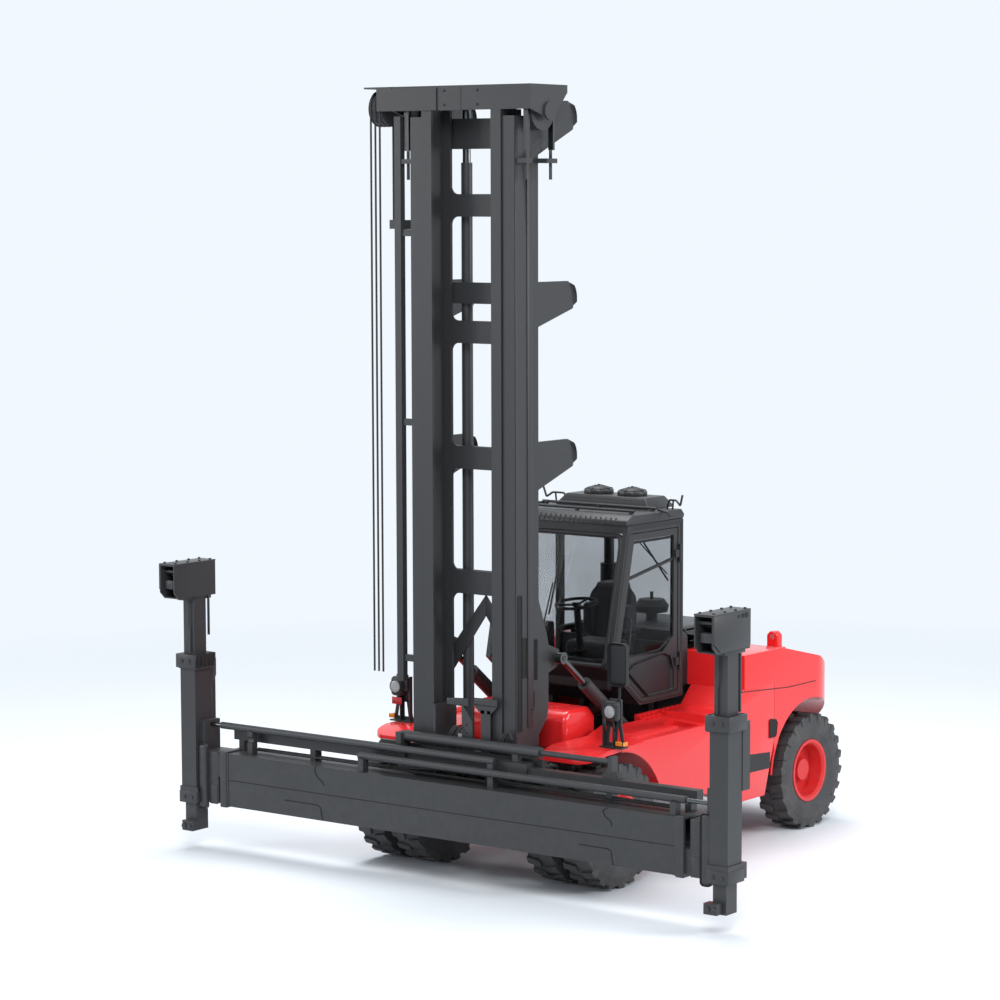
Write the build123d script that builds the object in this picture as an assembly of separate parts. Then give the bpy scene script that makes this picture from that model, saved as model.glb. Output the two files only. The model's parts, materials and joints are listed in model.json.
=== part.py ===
from build123d import *
import math
import os

os.makedirs("parts", exist_ok=True)

# Empty container handler with a two-stage mast and a side-lift spreader.
# Drawn in millimetres from the front axle: +X is the vehicle's left, -Y its
# front, +Z up, and the ground is Z = 0. AXLE_Y then moves the whole drawing so
# that its origin lies under the middle of the machine's length and width.

# Whole machine
AXLE_Y = -1315
WHEELBASE = 3226
GAP = 0.3

# Wheels, 12.00-20 tyres
TYRE_R = 550
TYRE_W = 300
TREAD_DEPTH = 24
LUGS = 22
LUG_LENGTH = 74
RIM_R = 309
HUB_R = 95
TWIN_OUTER_X = 1135
TWIN_INNER_X = 745
KINGPIN_X = 930
REAR_WHEEL_X = 1100
SPINDLE_R = 60
TRUNNION_R = 70
KINGPIN_R = 30
YOKE_R = 60

# Mast
MAST_HALF_W = 565
COLUMN_W = 128
COLUMN_FRONT_Y = -580
COLUMN_REAR_Y = -240
FLANGE_T = 30
MAST_FOOT_Z = 420
MAST_TOP_Z = 6690
INNER_COLUMN_W = 108
INNER_FRONT_Y = -596
INNER_REAR_Y = -300
SLIDE_GAP = 6
PIVOT_Y = -40
PIVOT_Z = 800
PIVOT_R = 40
CROSSHEAD_HALF_W = 753
CROSSHEAD_Z = (6745, 6955)
PULLEY_Y = -340
PULLEY_Z = 6730
PULLEY_R = 165
CHAIN_RUNS_Y = (PULLEY_Y - PULLEY_R - 13.3, PULLEY_Y + PULLEY_R + 13.3)
DRUM_Y = -430
DRUM_Z = 6770
DRUM_R = 145
HOSE_R = 9
HOSE_X = (-1005, -955, -905)
HOSE_END_Z = 1790

# Lift cylinders
LIFT_X = 250
LIFT_Y = -188
LIFT_FOOT_Z = 730
LIFT_TOP_Z = 6300
LIFT_BARREL_R = 50
LIFT_ROD_R = 36

# Carriage
ROLLER_R = (INNER_REAR_Y - INNER_FRONT_Y) / 2 - FLANGE_T - 0.5
CARRIAGE_HALF_L = 900
PAD_GAP = 0.5
SHIFT_Y = -700
SHIFT_Z = 1265

# Tilt cylinders
TILT_X = 630
TILT_EYE = (5, 1975)
TILT_BASE = (1000, 1200)
TILT_BARREL_R = 62
TILT_ROD_R = 30

# Spreader
BEAM_FRONT_Y = -930
BEAM_REAR_Y = -650
BEAM_Z = (440, 930)
BEAM_HALF_L = 2490
BEAM_WALL = 15
LOWER_CELL = (455, 677)
UPPER_CELL = (692, 915)
BEAM_CLEAR = 6
SLIDING_BEAM_L = 4530
RAIL_Y = (-740, -650)
RAIL_Z = (1030, 1125)
EXTEND_LEFT = (-815, 1163)
EXTEND_RIGHT = (-862, 1066)
EXTEND_BARREL_R = 32
EXTEND_ROD_R = 20
LEG_X = (2830, 3010)
LEG_Y = (-967, -757)
LEG_Z = (450, 1700)
LEG_WALL = 20
INNER_LEG_CLEAR = 5
FOOT_Z = (172, 450)
HEAD_X = (2838, 3020)
HEAD_Y = (-1215, -665)
HEAD_Z = (2350, 2667)

# Body
CHASSIS_TOP_Z = 1100
BODY_INNER_X = 640
BODY_OUTER_X = 1235

# Engine cover
HOOD_HALF_W = 600
HOOD_TOP_Z = 2010
HOOD_REAR_Y = 3040
HOOD_HINGE = (3062, 1740)
HOOD_HINGE_X = 380
COWL_Y = (1850, 2046)
COUNTERWEIGHT_TOP_Z = 1800
SLOPE = ((2700, COUNTERWEIGHT_TOP_Z), (3400, 1640))
EXHAUST = (-230, 1955)
PRECLEANER = (20, 2300)

# Lamps
LAMP = (1136, 20)
MUDGUARD_Z = 1230

# Cab
DOOR_HINGE = (714, 1752)
DOOR_HINGE_Z = (1700, 2700)
CAB_HALF_W = 700
CAB_FLOOR_Z = 1413
CAB_ROOF_Z = 3060
CAB_SIDE = ((1123, 1413), (650, 1795), (927, 3060), (1820, 3060), (1820, 1413))
CAB_OPENING = ((1160, 1473), (715, 1815), (975, 2990), (1740, 2990), (1740, 1473))


def block(x, y, z):
    """A box between three pairs of low and high values."""
    size = (x[1] - x[0], y[1] - y[0], z[1] - z[0])
    return Pos(x[0], y[0], z[0]) * Box(*size, align=(Align.MIN, Align.MIN, Align.MIN))


def side_plate(points, x0, x1):
    """A plate cut to a (y, z) outline, between two x values."""
    outline = Wire.make_polygon([Vector(x0, y, z) for y, z in points])
    return Solid.extrude(Face(outline), Vector(x1 - x0, 0, 0))


def front_plate(points, y0, y1):
    """A plate cut to an (x, z) outline, between two y values."""
    outline = Wire.make_polygon([Vector(x, y0, z) for x, z in points])
    return Solid.extrude(Face(outline), Vector(0, y1 - y0, 0))


def floor_plate(points, z0, z1):
    """A plate cut to an (x, y) outline, between two z values."""
    outline = Wire.make_polygon([Vector(x, y, z0) for x, y in points])
    return Solid.extrude(Face(outline), Vector(0, 0, z1 - z0))


def inset(points, gap):
    """The outline that lies a gap inside a convex one."""
    turn = sum(a[0] * b[1] - b[0] * a[1] for a, b in zip(points, points[1:] + points[:1]))
    sign = 1 if turn > 0 else -1
    lines = []
    for a, b in zip(points, points[1:] + points[:1]):
        length = math.hypot(b[0] - a[0], b[1] - a[1])
        n = (-sign * (b[1] - a[1]) / length, sign * (b[0] - a[0]) / length)
        lines.append((n[0], n[1], n[0] * a[0] + n[1] * a[1] + gap))
    corners = []
    for (a1, b1, c1), (a2, b2, c2) in zip(lines[-1:] + lines[:-1], lines):
        det = a1 * b2 - a2 * b1
        corners.append(((c1 * b2 - c2 * b1) / det, (a1 * c2 - a2 * c1) / det))
    return tuple(corners)


def rod(a, b, radius):
    """A round bar from point a to point b."""
    a, b = Vector(*a), Vector(*b)
    return Solid.make_cylinder(radius, (b - a).length, Plane(origin=a, z_dir=b - a))


def x_rod(x0, x1, y, z, radius):
    return rod((x0, y, z), (x1, y, z), radius)


def join(*pieces):
    solids = [s for piece in pieces for s in piece.solids()]
    return solids[0].fuse(*solids[1:]) if len(solids) > 1 else solids[0]


def cut(piece, *tools):
    return piece.cut(*[s for tool in tools for s in tool.solids()])


def as_compound(shape):
    return Compound(list(shape.solids()))


def mirrored(shape):
    """The same piece on the other side of the machine."""
    return as_compound(shape).mirror(Plane.YZ)


def both(shape):
    return Compound(list(shape.solids()) + list(mirrored(shape).solids()))


def spun(points, x_shift=0):
    """A turned piece about the X axis, from (x, radius) points."""
    outline = Wire.make_polygon([Vector(x + x_shift, 0, r) for x, r in points])
    return Solid.revolve(Face(outline), 360, Axis.X)


def write(name, shape):
    moved = Pos(0, AXLE_Y, 0) * as_compound(shape)
    solids = list(moved.solids())
    export_step(solids[0] if len(solids) == 1 else Compound(solids), f"parts/{name}.step")


def pair(name, shape):
    """Writes a left piece and its mirror image on the right."""
    write(name + "_left", shape)
    write(name + "_right", mirrored(shape))


# Wheels

def tyre():
    half = TYRE_W / 2
    tread_r = TYRE_R - TREAD_DEPTH
    section = ((-half + 34, RIM_R - 12), (-half + 4, RIM_R + 60), (-half + 2, tread_r - 70),
               (-half + 14, tread_r), (half - 14, tread_r), (half - 2, tread_r - 70),
               (half - 4, RIM_R + 60), (half - 34, RIM_R - 12))
    body = spun(section)
    lugs = []
    for side in (-1, 1):
        x = sorted((side * 12, side * half))
        bar = block(x, (-LUG_LENGTH / 2, LUG_LENGTH / 2), (tread_r - 58, TYRE_R))
        bar = bar.rotate(Axis.Z, side * 12)
        bar = as_compound(bar).intersect(x_rod(min(x) - 1, max(x), 0, 0, TYRE_R))
        for i in range(LUGS):
            turn = (i + 0.25 * side) * 360 / LUGS
            lugs.append(as_compound(bar).rotate(Axis.X, turn))
    return join(body, *lugs)


def rim(x, dish):
    """A disc wheel rim; dish moves its disc along X from the rim's middle."""
    half = TYRE_W / 2 - 36
    flange = ((-half - 12, RIM_R - 12 - GAP), (-half - 12, RIM_R - 40), (-half + 10, RIM_R - 60),
              (dish - 12, RIM_R - 62), (dish - 12, HUB_R + 5), (dish + 12, HUB_R + 5),
              (dish + 12, RIM_R - 62), (half - 10, RIM_R - 60), (half + 12, RIM_R - 40),
              (half + 12, RIM_R - 12 - GAP))
    return spun(flange, x)


def front_wheel_rims():
    middle = (TWIN_OUTER_X + TWIN_INNER_X) / 2
    outer = rim(TWIN_OUTER_X, middle + 12 - TWIN_OUTER_X)
    inner = rim(TWIN_INNER_X, middle - 12 - TWIN_INNER_X)
    bore = HUB_R + GAP
    hub = spun(((middle - 160, bore), (middle - 160, 170), (middle - 24, 170),
                (middle + 24, 170), (middle + 60, 140), (middle + 100, 120),
                (middle + 100, 0), (middle + 70, 0), (middle + 70, bore)))
    return join(outer, inner, hub)


def rear_wheel_rim():
    disc = rim(REAR_WHEEL_X, -40)
    x = REAR_WHEEL_X - 40
    bore = SPINDLE_R + GAP
    hub = spun(((x - 60, bore), (x - 60, 150), (x - 12, 150), (x + 12, 150),
                (x + 50, 110), (x + 90, 100), (x + 90, 0), (x + 60, 0), (x + 60, bore)))
    return join(disc, hub)


def at_rear(shape):
    return Pos(0, WHEELBASE, TYRE_R) * as_compound(shape)


def at_front(shape):
    return Pos(0, 0, TYRE_R) * as_compound(shape)


def front_axle():
    tube = x_rod(-560, 560, 0, TYRE_R, 130)
    bulge = Pos(0, 0, TYRE_R) * Sphere(215)
    ends = both(x_rod(560, 1000, 0, TYRE_R, HUB_R))
    drums = both(x_rod(558, 600, 0, TYRE_R, 180))
    pads = both(block((330, 440), (-120, 120), (TYRE_R + 60, TYRE_R + 150)))
    return join(tube, bulge, ends, drums, pads)


def rear_axle():
    beam = block((-760, 760), (WHEELBASE - 130, WHEELBASE + 130), (TYRE_R - 90, TYRE_R + 90))
    yokes = []
    for z in (TYRE_R - 130, TYRE_R + 90):
        yokes.append(block((700, KINGPIN_X), (WHEELBASE - YOKE_R, WHEELBASE + YOKE_R), (z, z + 40)))
        yokes.append(rod((KINGPIN_X, WHEELBASE, z), (KINGPIN_X, WHEELBASE, z + 40), YOKE_R))
    pin = rod((KINGPIN_X, WHEELBASE, TYRE_R - 130), (KINGPIN_X, WHEELBASE, TYRE_R + 130), KINGPIN_R)
    trunnion = rod((0, WHEELBASE - 258, TYRE_R + 20), (0, WHEELBASE + 258, TYRE_R + 20), TRUNNION_R)
    return join(beam, both(join(*yokes, pin)), trunnion)


def knuckle():
    barrel = rod((KINGPIN_X, WHEELBASE, TYRE_R - 85), (KINGPIN_X, WHEELBASE, TYRE_R + 85), 65)
    spindle = x_rod(KINGPIN_X, REAR_WHEEL_X + 15, WHEELBASE, TYRE_R, SPINDLE_R)
    arm = block((KINGPIN_X - 25, KINGPIN_X + 25), (WHEELBASE - 140, WHEELBASE), (TYRE_R - 20, TYRE_R + 20))
    bore = rod((KINGPIN_X, WHEELBASE, TYRE_R - 90), (KINGPIN_X, WHEELBASE, TYRE_R + 90), KINGPIN_R + GAP)
    return cut(join(barrel, spindle, arm), bore)


tyre_shape = as_compound(tyre())
pair("front_tyres", at_front(Compound([s for x in (TWIN_INNER_X, TWIN_OUTER_X)
                                        for s in (Pos(x, 0, 0) * tyre_shape).solids()])))
pair("rear_tyre", at_rear(Pos(REAR_WHEEL_X, 0, 0) * tyre_shape))
pair("front_rims", at_front(front_wheel_rims()))
pair("rear_rim", at_rear(rear_wheel_rim()))
write("front_axle", front_axle())
write("rear_axle", rear_axle())
pair("knuckle", knuckle())


# Chassis and body

def chassis():
    rail = side_plate(((-60, 700), (-60, 900), (300, 1100), (1850, 1100), (2550, 1100),
                       (3700, 1100), (3700, 700), (2700, 700), (2500, 420),
                       (500, 420), (320, 700)), 340, 400)
    cheek = side_plate(((-110, 700), (-110, 860), (30, 900), (300, 900), (300, 700)), 400, 440)
    pin = x_rod(400, MAST_HALF_W, PIVOT_Y, PIVOT_Z, PIVOT_R - GAP)
    cylinder_foot = join(block((400, 596), (960, 1040), (1160, 1240)),
                         block((400, 560), (900, 1100), (1000, 1160)),
                         x_rod(560, 664, TILT_BASE[0], TILT_BASE[1], 24))
    outriggers = [block((400, BODY_INNER_X - GAP), y, (740, 1000)) for y in ((770, 820), (2500, 2550))]
    cab_mounts = [block((340, 400), (y, y + 90), (CHASSIS_TOP_Z, CAB_FLOOR_Z - GAP)) for y in (1200, 1700)]
    side = join(rail, cheek, pin, cylinder_foot, *outriggers, *cab_mounts)
    floor = block((-345, 345), (420, 2500), (420, 440))
    bridge = block((-345, 345), (60, 260), (800, 840))
    tail = block((-345, 345), (2700, 3700), (1060, 1100))
    cradle = block((-120, 120), (WHEELBASE - 260, WHEELBASE - 205), (500, 1070))
    cradle_rear = block((-120, 120), (WHEELBASE + 205, WHEELBASE + 260), (500, 1070))
    bore = rod((0, WHEELBASE - 300, TYRE_R + 20), (0, WHEELBASE + 300, TYRE_R + 20), TRUNNION_R + GAP)
    return join(both(side), floor, bridge, tail, cut(join(cradle), bore), cut(join(cradle_rear), bore))


def side_body():
    """Front mudguard, step and tank side in one shell, on the left."""
    outline = ((-560, 1180), (-520, 1230), (420, 1230), (700, 1330), (1900, 1330),
               (2050, 1480), (2560, 1480), (2560, 700), (2480, 560), (760, 560), (500, 640))
    shape = side_plate(outline, BODY_INNER_X, BODY_OUTER_X)
    arch = x_rod(600, 1300, 0, TYRE_R, 640)
    front_room = block((600, 1300), (-700, 0), (0, 1150))
    hollow = block((600, BODY_OUTER_X - 20), (820, 2500), (600, 1290))
    room = block((600, 720), (640, 1120), (1080, 1400))
    return cut(shape, arch, front_room, hollow, room)


def counterweight():
    under = CHASSIS_TOP_Z + GAP
    top = COUNTERWEIGHT_TOP_Z
    outline = ((2565, under), (2565, 1480), (2050, 1480), (2050, top), (SLOPE[0][0], top), SLOPE[1],
               (3700, 1480), (3845, 1200), (3845, 700), (3760, 560), (3715, 560), (3715, under))
    whole = side_plate(outline, -BODY_OUTER_X, BODY_OUTER_X)
    plan = floor_plate(((-1235, 2000), (1235, 2000), (1235, 3350), (900, 3845),
                        (-900, 3845), (-1235, 3350)), 0, 2000)
    bay = block((-560, 560), (2000, 3020), (CHASSIS_TOP_Z - 10, 2000))
    wells = both(block((430, 1300), (2500, 3900), (0, 1160)))
    lugs = []
    for x in (HOOD_HINGE_X - 20, HOOD_HINGE_X + 60 + GAP):
        lugs.append(block((x, x + 20 - GAP), (HOOD_HINGE[0] - 14, HOOD_HINGE[0] + 14),
                          (1690, HOOD_HINGE[1] + 14)))
    return join(cut(join(as_compound(whole).intersect(plan)), bay, wells), both(join(*lugs)))


def hood_section(half, top, y0, y1, z0):
    """The engine cover's section, with its shoulders cut off, as a long bar."""
    return front_plate(((-half, z0), (-half, top - 90), (-half + 110, top), (half - 110, top),
                        (half, top - 90), (half, z0)), y0, y1)


def cowl():
    shell = hood_section(HOOD_HALF_W, HOOD_TOP_Z, COWL_Y[0], COWL_Y[1], 1480)
    inside = hood_section(HOOD_HALF_W - 20, HOOD_TOP_Z - 20, COWL_Y[0] + 20, COWL_Y[1] + 5, 1470)
    legs = block((-400, 400), (COWL_Y[0], COWL_Y[0] + 20), (1100, 1490))
    return join(cut(shell, inside), legs)


def slope_z(y):
    """The height of the counterweight's sloping top."""
    return SLOPE[0][1] + (y - SLOPE[0][0]) * (SLOPE[1][1] - SLOPE[0][1]) / (SLOPE[1][0] - SLOPE[0][0])


def hood():
    y = (COWL_Y[1] + 3, HOOD_REAR_Y)
    foot = COUNTERWEIGHT_TOP_Z + GAP
    outline = hood_section(HOOD_HALF_W, HOOD_TOP_Z, y[0], y[1], 1690)
    inside = hood_section(HOOD_HALF_W - 20, HOOD_TOP_Z - 20, y[0] - 5, y[1] - 20, 1680)
    below = side_plate(((y[0] - 5, 1600), (y[0] - 5, foot), (SLOPE[0][0], foot),
                        (y[1] + 50, slope_z(y[1] + 50) + GAP), (y[1] + 50, 1600)), -700, 700)
    fall = side_plate(((2700, HOOD_TOP_Z + 10), (y[1] + 10, HOOD_TOP_Z - 150), (y[1] + 10, HOOD_TOP_Z + 10)),
                      -700, 700)
    inside = cut(inside, Pos(0, 0, -20) * as_compound(fall))
    hinges = []
    for x in (HOOD_HINGE_X, -HOOD_HINGE_X - 60):
        hinges.append(x_rod(x, x + 60, *HOOD_HINGE, 13))
        hinges.append(block((x, x + 60), (y[1] - 2, HOOD_HINGE[0]), (HOOD_HINGE[1], HOOD_HINGE[1] + 12)))
    return join(cut(outline, inside, below, fall), *hinges)


def exhaust():
    x, y = EXHAUST
    muffler = rod((x, y, HOOD_TOP_Z), (x, y, HOOD_TOP_Z + 560), 82)
    pipe = rod((x, y, HOOD_TOP_Z + 560), (x, y, 2960), 48)
    return join(muffler, pipe)


def precleaner():
    x, y = PRECLEANER
    pipe = rod((x, y, HOOD_TOP_Z), (x, y, HOOD_TOP_Z + 80), 55)
    bowl = Pos(x, y, HOOD_TOP_Z + 80) * Cone(150, 165, 60, align=(Align.CENTER, Align.CENTER, Align.MIN))
    cap = Pos(x, y, HOOD_TOP_Z + 140) * Cone(165, 120, 60, align=(Align.CENTER, Align.CENTER, Align.MIN))
    stem = rod((x, y, HOOD_TOP_Z + 200), (x, y, HOOD_TOP_Z + 270), 16)
    return join(pipe, bowl, cap, stem)


write("chassis", chassis())
write("cowl", cowl())
write("exhaust", exhaust())
write("precleaner", precleaner())
pair("side_body", side_body())
write("counterweight", counterweight())
write("hood", hood())
write("engine", block((-330, 330), (1950, 2950), (CHASSIS_TOP_Z + GAP, 1780)))


# Cab

def cab_frame():
    sides = []
    for x0, x1 in ((-CAB_HALF_W, -CAB_HALF_W + 50), (CAB_HALF_W - 50, CAB_HALF_W)):
        outer = side_plate(CAB_SIDE, x0, x1)
        sides.append(cut(outer, side_plate(CAB_OPENING, x0 - 5, x1 + 5)))
    floor = block((-650, 650), (1123, 1820), (1413, 1473))
    roof_front = block((-650, 650), (927, 1000), (2990, 3060))
    roof_rear = block((-650, 650), (1750, 1820), (2990, 3060))
    back = block((-650, 650), (1770, 1820), (1473, 1900))
    nose = side_plate(((650, 1795), (715, 1815), (1170, 1473), (1123, 1413)), -650, 650)
    knuckles = []
    for z in DOOR_HINGE_Z:
        for low, high in ((z - 40, z - GAP), (z + 90 + GAP, z + 130)):
            knuckles.append(rod((*DOOR_HINGE, low), (*DOOR_HINGE, high), 12))
            knuckles.append(block((CAB_HALF_W - 5, DOOR_HINGE[0]), (DOOR_HINGE[1], DOOR_HINGE[1] + 12), (low, high)))
    return join(*sides, floor, roof_front, roof_rear, back, nose, *knuckles)


def roof():
    panel = block((-CAB_HALF_W, CAB_HALF_W), (907, 1830), (CAB_ROOF_Z, CAB_ROOF_Z + 25))
    z = CAB_ROOF_Z + 25
    cover = front_plate(((-540, z), (-420, z + 190), (420, z + 190), (540, z)), 1150, 1700)
    fans = [rod((x, 1430, z + 190), (x, 1430, z + 240), 130) for x in (-180, 180)]
    return join(panel, cover, *fans)


DOOR_OUTLINE = inset(CAB_OPENING, 8)
DOOR_WINDOW = ((1180, 1860), (790, 1870), (1035, 2920), (1672, 2920), (1672, 1990), (1500, 1860))


def door_frame():
    leaf = side_plate(DOOR_OUTLINE, CAB_HALF_W - 45, CAB_HALF_W - 5)
    window = side_plate(DOOR_WINDOW, CAB_HALF_W - 60, CAB_HALF_W + 5)
    inside = side_plate(((1200, 1530), (860, 1800), (1672, 1800), (1672, 1530)),
                        CAB_HALF_W - 50, CAB_HALF_W - 20)
    hinges = []
    for z in DOOR_HINGE_Z:
        hinges.append(rod((*DOOR_HINGE, z), (*DOOR_HINGE, z + 90), 12))
        hinges.append(block((CAB_HALF_W + 3, DOOR_HINGE[0]), (DOOR_HINGE[1] - 70, DOOR_HINGE[1]), (z + 10, z + 80)))
        hinges.append(block((CAB_HALF_W - 8, CAB_HALF_W + 5), (DOOR_HINGE[1] - 70, DOOR_HINGE[1] - 25),
                            (z + 10, z + 80)))
    return join(cut(leaf, window, inside), *hinges)


def door_glass():
    return side_plate(inset(DOOR_WINDOW, GAP), CAB_HALF_W - 28, CAB_HALF_W - 22)


def cab_glass():
    front = side_plate(((665, 1825), (930, 2985), (936, 2985), (671, 1825)), -649.7, 649.7)
    right = side_plate(inset(CAB_OPENING, GAP), -CAB_HALF_W + 20, -CAB_HALF_W + 26)
    rear = block((-649.7, 649.7), (1785, 1791), (1900 + GAP, 2990 - GAP))
    return Compound([front, right] + list(rear.solids()))


write("cab_frame", cab_frame())
write("cab_roof", roof())
write("cab_glass", cab_glass())
write("door_frame", door_frame())
write("door_glass", door_glass())
write("seat", join(block((-260, 260), (1290, 1740), (1750, 1860)),
                   block((-240, 240), (1650, 1740), (1860, 2450)),
                   block((-150, 150), (1350, 1600), (1473 + GAP, 1750))))
write("steering_column", join(block((-60, 60), (1175, 1290), (1473 + GAP, 1500)),
                              rod((0, 1225, 1495), (0, 1110, 2290), 45),
                              rod((0, 1110, 2290), (0, 1104, 2320), 190)))


# Lamps and mirror on the front mudguards

def lamp():
    foot = block((LAMP[0] - 80, LAMP[0] + 80), (LAMP[1] - 40, LAMP[1] + 40), (MUDGUARD_Z, MUDGUARD_Z + 12))
    legs = [block((LAMP[0] + a, LAMP[0] + a + 12), (LAMP[1] - 20, LAMP[1] + 20), (MUDGUARD_Z, 1650))
            for a in (-60, 48)]
    box = block((LAMP[0] - 48, LAMP[0] + 48), (LAMP[1] - 45, LAMP[1] + 15), (1520, 1640))
    return join(foot, *legs, box)


def mirror():
    post = rod((LAMP[0] + 71, LAMP[1], MUDGUARD_Z + 12.6), (LAMP[0] + 110, LAMP[1], 2120), 9)
    glass = block((LAMP[0] + 10, LAMP[0] + 210), (LAMP[1] - 45, LAMP[1] - 6), (1780, 2160))
    return join(post, glass)


write("lamps", both(lamp()))
write("mirror", mirror())


# Mast

def column(outer_x, width, front_y, rear_y, foot_z, top_z):
    """A channel column on the left, open towards the middle."""
    inner_x = outer_x - width
    web = block((outer_x - FLANGE_T, outer_x), (front_y, rear_y), (foot_z, top_z))
    front = block((inner_x, outer_x), (front_y, front_y + FLANGE_T), (foot_z, top_z))
    rear = block((inner_x, outer_x), (rear_y - FLANGE_T, rear_y), (foot_z, top_z))
    return join(web, front, rear)


def mast_outer():
    left = column(MAST_HALF_W, COLUMN_W, COLUMN_FRONT_Y, COLUMN_REAR_Y, MAST_FOOT_Z, MAST_TOP_Z)
    gusset = side_plate(((COLUMN_REAR_Y, 1318), (-97, 1475), (-97, 2141), (COLUMN_REAR_Y, 2510)),
                        MAST_HALF_W - FLANGE_T, MAST_HALF_W)
    eye_arm = side_plate(((-97, 1850), (60, 1900), (60, 2040), (-97, 2100)), MAST_HALF_W - 30, MAST_HALF_W)
    tilt_pin = x_rod(MAST_HALF_W - 30, TILT_X + 34, TILT_EYE[0], TILT_EYE[1], 24)
    foot = side_plate(((COLUMN_REAR_Y, 640), (-20, 700), (40, 800), (-20, 880), (COLUMN_REAR_Y, 1000)),
                      455, 495)
    foot = cut(foot, x_rod(400, 600, PIVOT_Y, PIVOT_Z, PIVOT_R))
    lugs = []
    for z0, z1 in ((3472, 3890), (4885, 5273), (6361, 6832)):
        lugs.append(side_plate(((COLUMN_REAR_Y, z1), (240, z1), (308, z1 - 90), (308, z1 - 230),
                                (COLUMN_REAR_Y, z0)), MAST_HALF_W - FLANGE_T, MAST_HALF_W))
    half = join(left, gusset, eye_arm, tilt_pin, foot, *lugs)
    ties = [block((-MAST_HALF_W + 30, MAST_HALF_W - 30), (COLUMN_REAR_Y - FLANGE_T, COLUMN_REAR_Y), (z0, z1))
            for z0, z1 in ((500, 720), (2518, 2728), (3624, 3823), (5073, 5259), (6417, 6680))]
    shelf = block((190, 340), (COLUMN_REAR_Y, -135), (700, LIFT_FOOT_Z))
    anchors = []
    for y in CHAIN_RUNS_Y:
        anchors.append(block((MAST_HALF_W - 5, 680), (min(y - 45, COLUMN_REAR_Y - 30), y + 45), (6290, 6330)))
        anchors.append(rod((640, y, 6150), (640, y, 6400), 14))
    return join(both(join(half, shelf, *anchors)), *ties)


INNER_OUTER_X = MAST_HALF_W - COLUMN_W - SLIDE_GAP


def mast_inner():
    left = column(INNER_OUTER_X, INNER_COLUMN_W, INNER_FRONT_Y, INNER_REAR_Y, MAST_FOOT_Z + 20,
                  CROSSHEAD_Z[0] + 5)
    ties = [block((-INNER_OUTER_X, INNER_OUTER_X), (INNER_REAR_Y - 20, INNER_REAR_Y), (z0, z1))
            for z0, z1 in ((5831, 6027), (4728, 4926), (3624, 3823), (2518, 2728))]
    head = block((-CROSSHEAD_HALF_W, CROSSHEAD_HALF_W), (-600, -560), CROSSHEAD_Z)
    cap = block((-CROSSHEAD_HALF_W, CROSSHEAD_HALF_W), (-600, -70), (CROSSHEAD_Z[1] - 20, CROSSHEAD_Z[1]))
    cheek = side_plate(((-600, CROSSHEAD_Z[1]), (-70, CROSSHEAD_Z[1]), (-70, 6890), (-250, 6700),
                        (-420, 6690), (-600, CROSSHEAD_Z[0])), CROSSHEAD_HALF_W - 20, CROSSHEAD_HALF_W)
    cheek = cut(cheek, x_rod(700, 800, PULLEY_Y, PULLEY_Z, 38 + GAP))
    y = (COLUMN_FRONT_Y + COLUMN_REAR_Y) / 2
    r = (COLUMN_REAR_Y - COLUMN_FRONT_Y) / 2 - FLANGE_T - PAD_GAP
    rollers = [x_rod(INNER_OUTER_X - 5, MAST_HALF_W - FLANGE_T - PAD_GAP, y, z, r) for z in (640, 1300)]
    return join(both(join(left, *rollers)), *ties, head, cap, both(cheek))


def lift_barrel():
    barrel = rod((LIFT_X, LIFT_Y, LIFT_FOOT_Z), (LIFT_X, LIFT_Y, LIFT_TOP_Z), LIFT_BARREL_R)
    bore = rod((LIFT_X, LIFT_Y, LIFT_FOOT_Z + 30), (LIFT_X, LIFT_Y, LIFT_TOP_Z), LIFT_ROD_R + 0.5)
    return cut(barrel, bore)


def lift_rod():
    return rod((LIFT_X, LIFT_Y, LIFT_FOOT_Z + 40), (LIFT_X, LIFT_Y, CROSSHEAD_Z[1] - 20), LIFT_ROD_R)


def hose_guide():
    """The long hose tube beside the mast, on two brackets."""
    tube = block((-765, -695), (-560, -500), (1720, 6700))
    brackets = [block((-700, -MAST_HALF_W - GAP), (-545, -515), (z, z + 60)) for z in (1900, 4000, 5660)]
    arm = block((-765, -695), (-505, -250), (5720, 5800 - GAP))
    clamp = block((HOSE_X[0] - 25, -700), (-305, -250), (5720, 5800 - GAP))
    return join(tube, *brackets, arm, clamp)


def hose_arm():
    """The bracket on the crosshead that carries the hose drum."""
    face = block((-919, -255), (-612, -600 - GAP), (CROSSHEAD_Z[0], CROSSHEAD_Z[1] - 15))
    top = block((-1060, -CROSSHEAD_HALF_W - GAP), (-612, -250), (CROSSHEAD_Z[1] - 15, CROSSHEAD_Z[1]))
    cheek = block((-880, -865), (-605, -250), (CROSSHEAD_Z[0], CROSSHEAD_Z[1] - 10))
    return join(face, top, cheek)


def hose_drum():
    """Three grooves side by side on one turned drum."""
    r = DRUM_R
    points = [(-1030, 0)]
    for x in HOSE_X:
        points += [(x - 22, r + 12), (x - 11, r), (x + 11, r), (x + 22, r + 12)]
    points += [(-880 - GAP, r + 12), (-880 - GAP, 0)]
    points[0:1] = [(-1030, 0), (-1030, r + 12)]
    drum = spun(points)
    return Pos(0, DRUM_Y, DRUM_Z) * as_compound(drum)


def hose(x):
    """A hose from its clamp, up over the drum and down to its free end."""
    r = DRUM_R + HOSE_R + GAP
    route = FilletPolyline((x, DRUM_Y + r, 5800), (x, DRUM_Y + r, DRUM_Z + r), (x, DRUM_Y - r, DRUM_Z + r),
                           (x, DRUM_Y - r, HOSE_END_Z), radius=r - 1)
    start = Plane(origin=(x, DRUM_Y + r, 5800), z_dir=(0, 0, 1))
    return sweep(start * Circle(HOSE_R), path=route)


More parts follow.
